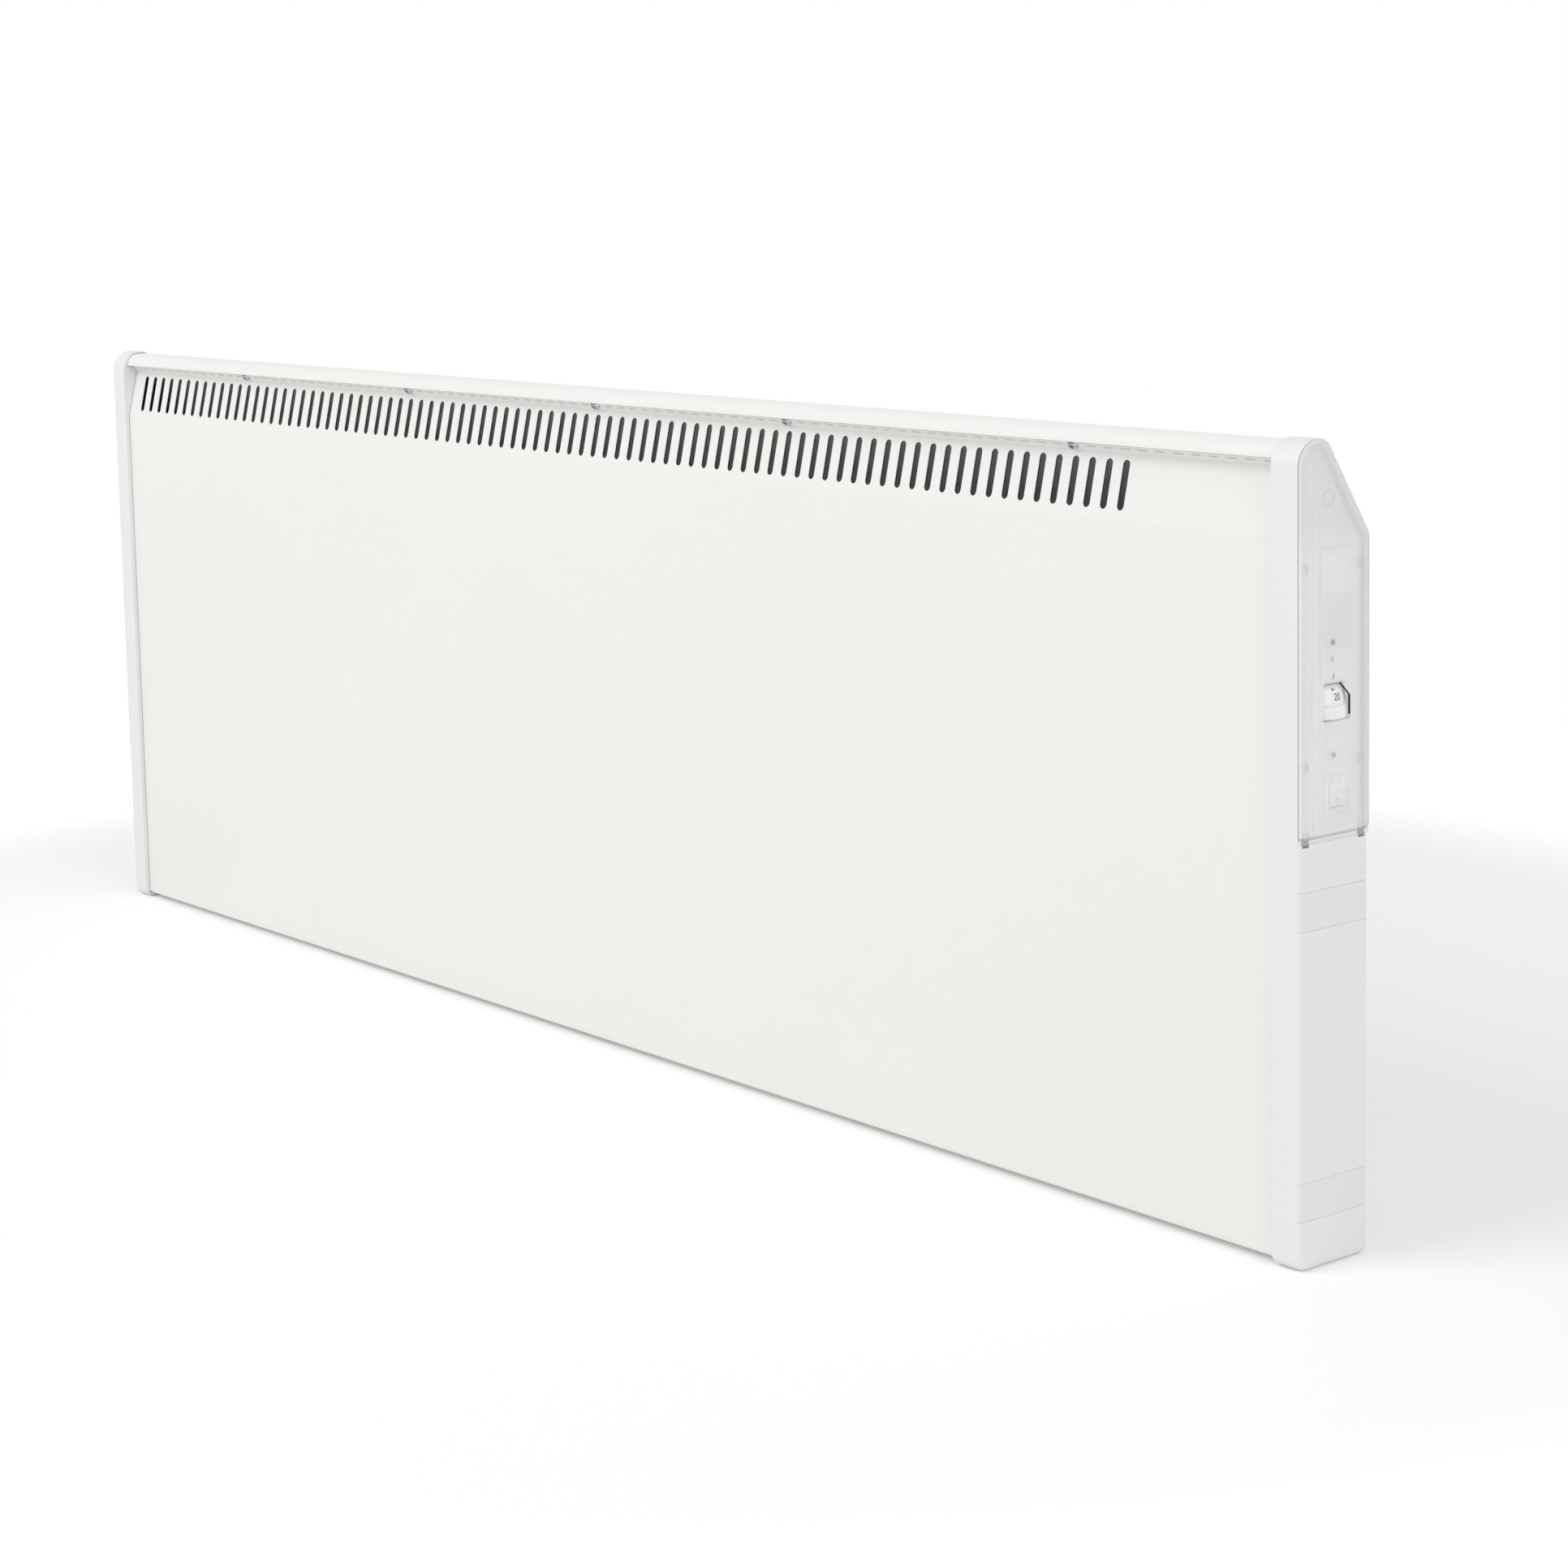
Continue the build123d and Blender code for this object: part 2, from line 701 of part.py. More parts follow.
with BuildPart() as side_cover:
    # plate with its rounded border, built up section by section
    with BuildSketch(Plane.YZ.offset(cover_x)):
        add(side_view(cover_inset, cover_low, cover_corner_front, cover_corner))
    extrude(amount=cover_face_x - cover_border[0][1] - cover_x)
    for (inset, depth), (next_inset, next_depth) in zip(cover_border, cover_border[1:]):
        with BuildSketch(Plane.YZ.offset(cover_face_x - depth)):
            add(side_view(cover_inset + inset, cover_low, cover_corner_front, cover_corner))
        with BuildSketch(Plane.YZ.offset(cover_face_x - next_depth)):
            add(side_view(cover_inset + next_inset, cover_low, cover_corner_front, cover_corner))
        loft(ruled=True)
    with BuildSketch(Plane.YZ.offset(cover_x)):
        add(side_view(cover_inset + cover_hollow_inset, cover_low + cover_sheet, 0.5, 0.5))
    extrude(amount=cover_back_x - cover_x, mode=Mode.SUBTRACT)
    # inner rim on three sides, with the snap hooks outside it
    with BuildSketch(Plane.YZ.offset(x_right - rim_depth)):
        add(side_view(rim_inset, cover_low + rim_lift, 0, 0))
        add(side_view(rim_inset + rim_sheet, cover_low - rim_lift, 0, 0), mode=Mode.SUBTRACT)
    extrude(amount=cover_back_x - x_right + rim_depth)
    for height in hook_heights:
        with BuildSketch(Plane.XY.offset(seat_z + height - hook_length / 2)):
            for side in (-1, 1):
                with Locations((x_right - rim_depth + hook_sheet, side * (body_depth / 2 - rim_inset))):
                    Rectangle(2 * hook_sheet, 2 * hook_reach)
        extrude(amount=hook_length)
    # hinge ears
    for low, high in ear_spans:
        with BuildSketch(Plane.XZ.offset(-high)):
            with Locations((hinge_x, hinge_z)):
                Circle(ear_radius)
            with Locations((hinge_x, (hinge_z + ear_top) / 2)):
                Rectangle(2 * ear_radius, ear_top - hinge_z)
            with Locations(((hinge_x + cover_back_x) / 2, (cover_low + ear_top) / 2)):
                Rectangle(cover_back_x - hinge_x, ear_rise)
        extrude(amount=high - low)
        with BuildSketch(Plane.XZ.offset(-high - 1)):
            with Locations((hinge_x, hinge_z)):
                Circle(hinge_bore_radius)
        extrude(amount=high - low + 2, both=True, mode=Mode.SUBTRACT)
    # window round the thermostat wheel, with its rear top corner cut off
    with BuildSketch(Plane.YZ.offset(cover_x - 5)):
        with BuildLine():
            Polyline(
                (window_front, window_low),
                (window_front, window_high),
                (window_rear - window_chamfer, window_high),
                (window_rear, window_high - window_chamfer),
                (window_rear, window_low),
                close=True,
            )
        make_face()
    extrude(amount=20, mode=Mode.SUBTRACT)
    # moulded ring above the window
    with BuildSketch(Plane.YZ.offset(cover_face_x - ring_depth)):
        with Locations((ring_y, seat_z + ring_height)):
            Circle(ring_radius)
            Circle(ring_radius - ring_width, mode=Mode.SUBTRACT)
    extrude(amount=1, mode=Mode.SUBTRACT)
side_cover.part.label = "side_cover"

with BuildPart() as cover_hinge_pins:
    for low, high in ear_spans:
        with BuildSketch(Plane.XZ.offset(-(high + pin_overrun - pin_seat_gap))):
            with Locations((hinge_x, hinge_z)):
                Circle(hinge_pin_radius)
        extrude(amount=high - low + 2 * (pin_overrun - pin_seat_gap))
cover_hinge_pins.part.label = "cover_hinge_pins"

# ---------------------------------------------------------------- control module

module_middle = (module_low + module_high) / 2
module_tall = module_high - module_low
module_back_x = face_x - module_depth
flange_screw_rise = (module_tall + module_flange) / 2
slot_chord = sqrt(wheel_radius ** 2 - (face_x - wheel_x) ** 2) + window_gap
switch_y = switch_rearward
switch_z = seat_z + switch_height
lamp_y = -lamp_forward

with BuildPart() as control_housing:
    with BuildSketch(Plane.YZ.offset(module_back_x)):
        with Locations((0, module_middle)):
            RectangleRounded(module_width, module_tall, module_corner)
    extrude(amount=module_depth)
    with BuildSketch(Plane.YZ.offset(module_back_x)):
        with Locations((0, module_middle)):
            Rectangle(module_width - 2 * module_wall, module_tall - 2 * module_wall)
    extrude(amount=module_depth - module_wall, mode=Mode.SUBTRACT)
    with BuildSketch(Plane.YZ.offset(plate_x + seat_gap)):
        for side in (-1, 1):
            with Locations((0, module_middle + side * flange_screw_rise)):
                Rectangle(module_flange_width, module_flange)
                Circle(module_screw_radius + screw_hole_gap, mode=Mode.SUBTRACT)
    extrude(amount=module_flange_sheet)
    with BuildSketch(Plane.YZ.offset(face_x - module_wall - 1)):
        with Locations((wheel_y, (wheel_z + wheel_top) / 2)):
            Rectangle(2 * slot_chord, wheel_top - wheel_z + 2 * window_gap)
        with Locations((switch_y, switch_z)):
            Rectangle(switch_width + slip_gap, switch_tall + slip_gap)
        for height in lamp_heights:
            with Locations((lamp_y, seat_z + height)):
                Circle(lamp_radius + slip_gap)
    extrude(amount=module_wall + 2, mode=Mode.SUBTRACT)
control_housing.part.label = "control_housing"

board_x = x_right - board_inset
board_bottom = seat_z + board_low
board_top = module_high - module_wall - board_gap
with BuildPart() as control_board:
    with BuildSketch(Plane.YZ.offset(board_x - board_sheet)):
        with Locations((0, (board_bottom + board_top) / 2)):
            Rectangle(module_width - 2 * (module_wall + board_gap), board_top - board_bottom)
    extrude(amount=board_sheet)
    # relay and smoothing capacitor on the back
    with BuildSketch(Plane.YZ.offset(board_x - board_sheet - relay_tall)):
        with Locations((0, module_high - relay_length)):
            Rectangle(relay_width, relay_length)
        with Locations((0, board_bottom + relay_width)):
            Circle(relay_width / 2)
    extrude(amount=relay_tall)
control_board.part.label = "control_board"

with BuildPart() as potentiometer:
    with BuildSketch(Plane.XY.offset(wheel_z - pot_gap - pot_height)):
        with Locations(((board_x + face_x - module_wall) / 2, wheel_y)):
            Rectangle(face_x - module_wall - board_x - pot_gap, pot_width)
    extrude(amount=pot_height)
    with BuildSketch(Plane.XY.offset(wheel_z - pot_gap)):
        with Locations((wheel_x, wheel_y)):
            Circle(spindle_radius + spindle_gap)
    extrude(amount=-(spindle_depth + spindle_gap), mode=Mode.SUBTRACT)
potentiometer.part.label = "potentiometer"

with BuildPart() as dial_spindle:
    with BuildSketch(Plane.XY.offset(wheel_z - pot_gap - spindle_depth)):
        with Locations((wheel_x, wheel_y)):
            Circle(spindle_radius)
    extrude(amount=spindle_depth + pot_gap + grip_height + dial_height + spindle_overrun)
dial_spindle.part.label = "dial_spindle"

with BuildPart() as light_pipes:
    with BuildSketch(Plane.YZ.offset(board_x)):
        for height in lamp_heights:
            with Locations((lamp_y, seat_z + height)):
                Circle(lamp_radius)
    extrude(amount=cover_back_x - lamp_gap - board_x)
    chamfer(light_pipes.faces().group_by(Axis.X)[-1].edges(), lamp_chamfer)
light_pipes.part.label = "light_pipes"

with BuildPart() as thermostat_wheel:
    with BuildSketch(Plane.XY.offset(wheel_z)):
        with Locations((wheel_x, wheel_y)):
            Circle(wheel_radius)
            with PolarLocations(wheel_radius, grip_grooves):
                Rectangle(2 * groove_depth, groove_width, mode=Mode.SUBTRACT)
    extrude(amount=grip_height)
    with BuildSketch(Plane.XY.offset(wheel_z + grip_height)):
        with Locations((wheel_x, wheel_y)):
            Circle(dial_base_radius)
    with BuildSketch(Plane.XY.offset(wheel_top)):
        with Locations((wheel_x, wheel_y)):
            Circle(dial_top_radius)
    loft()
    with BuildSketch(Plane.XY.offset(wheel_z - 1)):
        with Locations((wheel_x, wheel_y)):
            Circle(spindle_radius + press_gap)
    extrude(amount=grip_height + dial_height + 2, mode=Mode.SUBTRACT)
thermostat_wheel.part.label = "thermostat_wheel"

# ---------------------------------------------------------------- mains switch

rocker_x = face_x - rocker_inset
rocker_reach = rocker_tall / 2
cavity_back = rocker_x - rocker_back - rocker_room

with BuildPart() as switch_body:
    with BuildSketch(Plane.YZ.offset(face_x - switch_depth)):
        with Locations((switch_y, switch_z)):
            Rectangle(switch_width, switch_tall)
    extrude(amount=switch_depth)
    with BuildSketch(Plane.YZ.offset(face_x + press_gap)):
        with Locations((switch_y, switch_z)):
            RectangleRounded(switch_width + 2 * switch_bezel, switch_tall + 2 * switch_bezel, switch_corner)
    extrude(amount=switch_bezel_sheet)
    with BuildSketch(Plane.YZ.offset(face_x - switch_bezel_sheet)):
        with Locations((switch_y, switch_z)):
            Rectangle(switch_width, switch_tall)
    extrude(amount=2 * switch_bezel_sheet)
    with BuildSketch(Plane.YZ.offset(cavity_back)):
        with Locations((switch_y, switch_z)):
            Rectangle(rocker_width + 2 * rocker_gap, 2 * (rocker_reach + rocker_gap))
    extrude(amount=switch_depth, mode=Mode.SUBTRACT)
    with BuildSketch(Plane.XZ.offset(-(switch_y + rocker_width / 2 + rocker_gap + trunnion_length))):
        with Locations((rocker_x, switch_z)):
            Circle(trunnion_radius + trunnion_gap)
    extrude(amount=rocker_width + 2 * (rocker_gap + trunnion_length), mode=Mode.SUBTRACT)
    # blade terminals
    with BuildSketch(Plane.YZ.offset(face_x - switch_depth - blade_length)):
        with Locations((switch_y, switch_z)):
            with GridLocations(0, blade_pitch, 1, 2):
                Rectangle(blade_width, blade_sheet)
    extrude(amount=blade_length)
switch_body.part.label = "switch_body"

rocking = Plane(
    origin=(rocker_x, switch_y + rocker_width / 2, switch_z),
    x_dir=(cos(radians(rocker_tilt)), 0, -sin(radians(rocker_tilt))),
    z_dir=(0, -1, 0),
)
with BuildPart() as switch_rocker:
    with BuildSketch(rocking):
        Circle(rocker_reach)
        with BuildLine():
            Polyline(
                (-rocker_back, -rocker_tall),
                (rocker_ridge + 2 * rocker_rise, -rocker_tall),
                (rocker_ridge, 0),
                (rocker_ridge + 2 * rocker_rise, rocker_tall),
                (-rocker_back, rocker_tall),
                close=True,
            )
        make_face(mode=Mode.INTERSECT)
    extrude(amount=rocker_width)
    with BuildSketch(rocking.offset(-(rocker_gap + trunnion_length - slip_gap))):
        Circle(trunnion_radius)
    extrude(amount=rocker_width + 2 * (rocker_gap + trunnion_length - slip_gap))
switch_rocker.part.label = "switch_rocker"

# ---------------------------------------------------------------- inner plates and air path

left_plate_x = x_left + plate_inset
with BuildPart() as left_end_plate:
    with BuildSketch(Plane.YZ.offset(left_plate_x)):
        add(inner_plate_section())
        with Locations((element_y, element_height)):
            Circle(bush_radius + seat_gap, mode=Mode.SUBTRACT)
        for band_low in band_lows:
            with Locations((0, band_low + band_height / 2)):
                Circle(cap_screw_radius + thread_gap, mode=Mode.SUBTRACT)
    extrude(amount=sheet)
left_end_plate.part.label = "left_end_plate"

with BuildPart() as right_end_plate:
    with BuildSketch(Plane.YZ.offset(plate_x - sheet)):
        add(inner_plate_section())
        for band_low in band_lows:
            with Locations((0, band_low + band_height / 2)):
                Circle(cap_screw_radius + thread_gap, mode=Mode.SUBTRACT)
        with Locations((0, module_middle)):
            Rectangle(
                module_width + 2 * module_gap,
                module_tall + 2 * module_gap,
                mode=Mode.SUBTRACT,
            )
            for side in (-1, 1):
                with Locations((0, side * flange_screw_rise)):
                    Circle(module_screw_radius + thread_gap, mode=Mode.SUBTRACT)
    extrude(amount=sheet)
right_end_plate.part.label = "right_end_plate"

with BuildPart() as divider_plate:
    with BuildSketch(Plane.YZ.offset(divider_x)):
        add(inner_plate_section())
        with Locations((element_y, element_height)):
            Circle(bush_radius + seat_gap, mode=Mode.SUBTRACT)
    extrude(amount=sheet)
divider_plate.part.label = "divider_plate"

baffle_y = y_rear - baffle_inset
baffle_left = left_plate_x + sheet + seat_gap
baffle_length = divider_x - seat_gap - baffle_left
bracket_rear = baffle_y - seat_gap
with BuildPart() as air_baffle:
    with BuildSketch(Plane.YZ.offset(baffle_left)):
        with BuildLine():
            FilletPolyline(
                (baffle_y + baffle_sheet / 2, baffle_low),
                (baffle_y + baffle_sheet / 2, body_height - baffle_drop),
                (baffle_y - baffle_lean, body_height - baffle_drop + 2 * baffle_lean),
                radius=bend_radius,
            )
        trace(line_width=baffle_sheet)
    extrude(amount=baffle_length)
air_baffle.part.label = "air_baffle"

# ---------------------------------------------------------------- heating element

element_left = left_plate_x + sheet + element_end_gap
element_length = divider_x - element_end_gap - element_left
rod_left = left_plate_x - rod_overrun
rod_length = divider_x + sheet + rod_overrun - rod_left

with BuildPart() as heating_element:
    with BuildSketch(Plane.YZ.offset(element_left)):
        add(element_section())
        with Locations((element_y, element_height)):
            Circle(rod_radius + press_gap, mode=Mode.SUBTRACT)
    extrude(amount=element_length)
heating_element.part.label = "heating_element"

with BuildPart() as heater_rod:
    with BuildSketch(Plane.YZ.offset(rod_left)):
        with Locations((element_y, element_height)):
            Circle(rod_radius)
    extrude(amount=rod_length)
heater_rod.part.label = "heater_rod"

with BuildPart() as element_bushes:
    for plate_face, away in ((left_plate_x + sheet, -1), (divider_x, 1)):
        with BuildSketch(Plane.YZ.offset(plate_face - away * press_gap)):
            with Locations((element_y, element_height)):
                Circle(bush_radius + bush_flange)
        extrude(amount=-away * bush_flange)
        with BuildSketch(Plane.YZ.offset(plate_face - away * bush_flange)):
            with Locations((element_y, element_height)):
                Circle(bush_radius)
        extrude(amount=away * bush_length)
    with BuildSketch(Plane.YZ.offset(rod_left)):
        with Locations((element_y, element_height)):
            Circle(rod_radius + press_gap)
    extrude(amount=rod_length, mode=Mode.SUBTRACT)
element_bushes.part.label = "element_bushes"

with BuildPart() as element_brackets:
    for index in range(bracket_count):
        bracket_x = element_left + element_length * (index + 0.5) / bracket_count
        with BuildSketch(Plane.YZ.offset(bracket_x)):
            front = element_y - element_fin_reach - bracket_gap
            with Locations(((front + bracket_rear) / 2, element_height)):
                Rectangle(bracket_rear - front, 2 * bracket_half)
            add(element_section(bracket_gap), mode=Mode.SUBTRACT)
        extrude(amount=bracket_sheet)
        with BuildSketch(Plane.XZ.offset(-bracket_rear)):
            with Locations((bracket_x + bracket_foot / 2, element_height)):
                Rectangle(bracket_foot, 2 * bracket_half)
        extrude(amount=bracket_sheet)
element_brackets.part.label = "element_brackets"

# ---------------------------------------------------------------- electrical small parts

cutout_z = body_height - cutout_drop
cutout_seat = divider_x - seat_gap
with BuildPart() as thermal_cutout:
    # two-eared flange, round can and its smaller cap
    with BuildSketch(Plane.YZ.offset(cutout_seat - cutout_flange)):
        with Locations((element_y, cutout_z)):
            SlotOverall(cutout_ears, 1.2 * cutout_radius)
    extrude(amount=cutout_flange)
    with BuildSketch(Plane.YZ.offset(cutout_seat - cutout_length)):
        with Locations((element_y, cutout_z)):
            Circle(cutout_radius)
    extrude(amount=cutout_length)
    with BuildSketch(Plane.YZ.offset(cutout_seat - cutout_length - cutout_cap)):
        with Locations((element_y, cutout_z)):
            Circle(0.7 * cutout_radius)
    extrude(amount=cutout_cap)
thermal_cutout.part.label = "thermal_cutout"

sensor_z = grille_z + half + seat_gap
with BuildPart() as temperature_sensor:
    with BuildSketch(Plane.YZ.offset(x_right - sensor_from_end)):
        with Locations((-sensor_radius, sensor_z + sensor_radius)):
            Circle(sensor_radius)
        with Locations((-sensor_radius, sensor_z + sensor_radius / 4)):
            Rectangle(4 * sensor_radius, sensor_radius / 2)
    extrude(amount=sensor_length)
temperature_sensor.part.label = "temperature_sensor"

block_x = x_right - block_from_end
block_rear = back_y - sheet - seat_gap
with BuildPart() as terminal_block:
    with BuildSketch(Plane.XZ.offset(-block_rear)):
        with Locations((block_x, block_height)):
            Rectangle(block_size[0], block_size[2])
    extrude(amount=block_size[1])
    chamfer(terminal_block.faces().sort_by(Axis.Y)[0].edges().filter_by(Axis.X), block_chamfer)
    with BuildSketch(Plane.XZ.offset(-(block_rear - block_size[1]))):
        with Locations((block_x, block_height)):
            with GridLocations(block_size[0] / 3, 0, 3, 1):
                Circle(block_screw_radius)
    extrude(amount=-block_size[1] / 2, mode=Mode.SUBTRACT)
terminal_block.part.label = "terminal_block"

with BuildPart() as cable_gland:
    gland_at = (x_right - gland_from_end, gland_height)
    with BuildSketch(Plane.XZ.offset(-(y_rear - gland_back_inset))):
        with Locations(gland_at):
            Circle(gland_body_radius)
    extrude(amount=gland_length)
    with BuildSketch(Plane.XZ.offset(-(back_y - sheet - press_gap))):
        with Locations(gland_at):
            RegularPolygon(gland_flange_radius, 6)
    extrude(amount=gland_flange)
    with BuildSketch(Plane.XZ.offset(-y_rear)):
        with Locations(gland_at):
            Circle(gland_bore_radius)
    extrude(amount=2 * gland_length, mode=Mode.SUBTRACT)
cable_gland.part.label = "cable_gland"

# ---------------------------------------------------------------- fasteners


def make_screw(head_radius, head_height, shank_radius, shank_length, slot):
    # pan head screw along +Z, the underside of its head at the origin
    with BuildPart() as screw:
        with BuildSketch():
            Circle(head_radius)
        extrude(amount=head_height, taper=screw_head_taper)
        with BuildSketch(Plane.XY.offset(head_height)):
            Rectangle(slot, 0.22 * slot)
            Rectangle(0.22 * slot, slot)
        extrude(amount=-0.5 * head_height, mode=Mode.SUBTRACT)
        with BuildSketch():
            Circle(shank_radius)
        extrude(amount=-shank_length)
    return screw.part


with BuildPart() as panel_screws:
    screw = make_screw(
        screw_head_radius, screw_head_height, screw_shank_radius, screw_length, screw_head_radius
    )
    for x in screw_xs:
        seat = Plane(
            origin=(x, fold_y - undercut / 2, fold_z + undercut / 2),
            x_dir=(1, 0, 0),
            z_dir=(0, -1, -1),
        )
        add(seat.offset(screw_seat) * screw)
panel_screws.part.label = "panel_screws"

with BuildPart() as cap_screws:
    right_seat = x_right - band_sheet - slip_gap - cap_screw_head_height
    left_seat = x_left + cap_screw_head_height + slip_gap
    for seat_x, away in ((right_seat, 1), (left_seat, -1)):
        shank = abs(seat_x - (x_left if away < 0 else x_right))
        screw = make_screw(
            cap_screw_head,
            cap_screw_head_height,
            cap_screw_radius,
            plate_inset + sheet + cap_screw_overrun - shank,
            cap_screw_head,
        )
        for band_low in band_lows:
            seat = Plane(
                origin=(seat_x, 0, band_low + band_height / 2),
                x_dir=(0, 1, 0),
                z_dir=(away, 0, 0),
            )
            add(seat * screw)
cap_screws.part.label = "cap_screws"

with BuildPart() as module_screws:
    screw = make_screw(
        module_screw_head, module_screw_height, module_screw_radius, module_screw_length, module_screw_head
    )
    for side in (-1, 1):
        height = module_middle + side * flange_screw_rise
        seat = Plane(
            origin=(plate_x + seat_gap + module_flange_sheet, 0, height),
            x_dir=(0, 1, 0),
            z_dir=(1, 0, 0),
        )
        add(seat.offset(press_gap) * screw)
module_screws.part.label = "module_screws"

with BuildPart() as rail_rivets:
    with BuildSketch(rivet_plane.offset(press_gap)):
        with Locations(*[(x, 0) for x in rivet_xs]):
            Circle(rivet_head_radius)
    extrude(amount=rivet_head_height, taper=30)
    with BuildSketch(rivet_plane.offset(press_gap)):
        with Locations(*[(x, 0) for x in rivet_xs]):
            Circle(rivet_radius)
    extrude(amount=-rivet_length)
rail_rivets.part.label = "rail_rivets"

# ---------------------------------------------------------------- files

pieces = (
    front_panel,
    top_rail,
    rail_stiffener,
    back_panel,
    bottom_grille,
    left_end_cap,
    right_end_cap,
    upper_band_cover,
    lower_band_cover,
    side_cover,
    cover_hinge_pins,
    control_housing,
    control_board,
    potentiometer,
    dial_spindle,
    light_pipes,
    thermostat_wheel,
    switch_body,
    switch_rocker,
    left_end_plate,
    right_end_plate,
    divider_plate,
    air_baffle,
    heating_element,
    heater_rod,
    element_bushes,
    element_brackets,
    thermal_cutout,
    temperature_sensor,
    terminal_block,
    cable_gland,
    panel_screws,
    cap_screws,
    module_screws,
    rail_rivets,
)

os.makedirs("parts", exist_ok=True)
for piece in pieces:
    export_step(piece.part, f"parts/{piece.part.label}.step")
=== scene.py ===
import math

import bmesh
import bpy
import numpy as np
from mathutils import Matrix, Vector


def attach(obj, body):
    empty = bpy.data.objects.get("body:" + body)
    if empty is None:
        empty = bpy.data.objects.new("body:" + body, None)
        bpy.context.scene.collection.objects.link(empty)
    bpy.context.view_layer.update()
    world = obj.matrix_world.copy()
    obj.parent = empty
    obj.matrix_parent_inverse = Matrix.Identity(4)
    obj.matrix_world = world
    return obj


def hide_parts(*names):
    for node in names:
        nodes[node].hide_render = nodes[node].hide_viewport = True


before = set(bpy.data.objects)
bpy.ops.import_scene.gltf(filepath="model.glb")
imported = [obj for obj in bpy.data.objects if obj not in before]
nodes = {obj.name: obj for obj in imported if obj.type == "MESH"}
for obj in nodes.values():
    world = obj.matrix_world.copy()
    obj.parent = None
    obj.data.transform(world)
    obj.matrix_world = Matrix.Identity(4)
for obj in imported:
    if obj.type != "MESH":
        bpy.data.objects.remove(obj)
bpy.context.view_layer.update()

print("frame loaded:", len(nodes), "nodes")


def addObject(name, data):
    made = bpy.data.objects.new(name, data)
    bpy.context.scene.collection.objects.link(made)
    return made


# camera, at the photograph's place: metres, degrees and the lens in millimetres
cameraSetup = {
    "place": (1.6002, -1.1656, 0.5286),
    "azimuth": 51.06,
    "elevation": 7.193,
    "roll": -1.137,
    "lens": 78.16,
    "sensor": 36.0,
    "shiftY": -0.1377,
    "clipEnd": 100,
}


def makeCamera(setup):
    azimuth = math.radians(setup["azimuth"])
    elevation = math.radians(setup["elevation"])
    forward = Vector((
        -math.sin(azimuth) * math.cos(elevation),
        math.cos(azimuth) * math.cos(elevation),
        -math.sin(elevation),
    ))
    level = forward.cross(Vector((0, 0, 1))).normalized()
    right = Matrix.Rotation(-math.radians(setup["roll"]), 3, forward) @ level
    up = right.cross(forward)
    data = bpy.data.cameras.new("photoCamera")
    data.lens = setup["lens"]
    data.sensor_width = setup["sensor"]
    data.shift_y = setup["shiftY"]
    data.clip_end = setup["clipEnd"]
    camera = addObject("photoCamera", data)
    axes = Matrix((right, up, -forward)).transposed()
    camera.matrix_world = Matrix.Translation(setup["place"]) @ axes.to_4x4()
    bpy.context.scene.camera = camera


makeCamera(cameraSetup)
print("camera placed")


# measures in millimetres, read from the boxes of the CAD nodes
def vertexTable(mesh):
    flat = np.empty(len(mesh.vertices) * 3)
    mesh.vertices.foreach_get("co", flat)
    return flat.reshape(-1, 3)


def nodeBox(name):
    points = vertexTable(nodes[name].data) * 1000
    return points.min(0), points.max(0)


# both ends: the cover's height, the control module's depth behind the end, and the rear slope
endShape = {"coverHeight": 184.0, "moduleInset": 3.4, "ridgeInset": 18.7, "slopeDrop": 46.0}

panelLow, panelHigh = nodeBox("front_panel")
capLow, capHigh = nodeBox("right_end_cap")
coverHigh = nodeBox("side_cover")[1]
wheelLow, wheelHigh = nodeBox("thermostat_wheel")
capLeft = nodeBox("left_end_cap")[0][0]
endFace, bodyTop = capHigh[0], capHigh[2]
frontFace, rearFace = capLow[1], capHigh[1]
coverFoot = bodyTop - endShape["coverHeight"]
housingFace = endFace - endShape["moduleInset"]
slopeRun = rearFace - frontFace - endShape["ridgeInset"]
slopeGrade = endShape["slopeDrop"] / slopeRun
slopeStretch = math.hypot(slopeRun, endShape["slopeDrop"]) / slopeRun
ridgeY = frontFace + endShape["ridgeInset"]


def slopeHeight(y, inset):
    # height of the rear slope at y, the slope drawn in square to itself by inset
    return bodyTop - (y - ridgeY) * slopeGrade - inset * slopeStretch


def slopeCorner(inset):
    # Y where that slope meets the top, both drawn in by inset
    return ridgeY + (slopeHeight(ridgeY, inset) - (bodyTop - inset)) / slopeGrade


# shader maths: a wrapped socket with operators, and one method that makes every node
class Shade:
    def __init__(self, tree, socket):
        self.tree = tree
        self.socket = socket

    def maths(self, operation, other=None):
        return node(self.tree, "ShaderNodeMath", {"operation": operation}, {0: self, 1: other})

    def __add__(self, other):
        return self.maths("ADD", other)

    def __mul__(self, other):
        return self.maths("MULTIPLY", other)

    def __sub__(self, other):
        return self.maths("SUBTRACT", other)

    def __rsub__(self, other):
        return node(self.tree, "ShaderNodeMath", {"operation": "SUBTRACT"}, {0: other, 1: self})

    __radd__ = __add__
    __rmul__ = __mul__


def node(tree, kind, settings=None, inputs=None, out=0):
    made = tree.nodes.new(kind)
    for name, value in (settings or {}).items():
        setattr(made, name, value)
    for name, value in (inputs or {}).items():
        if isinstance(value, Shade):
            tree.links.new(value.socket, made.inputs[name])
        elif value is not None:
            made.inputs[name].default_value = value
    return Shade(tree, made.outputs[out]) if len(made.outputs) else None


def newMaterial(name):
    material = bpy.data.materials.new(name)
    material.use_nodes = True
    material.node_tree.nodes.clear()
    return material, material.node_tree


def finishSurface(tree, shader):
    node(tree, "ShaderNodeOutputMaterial", {}, {"Surface": shader})


def objectPlace(tree):
    return node(tree, "ShaderNodeTexCoord", out=3)


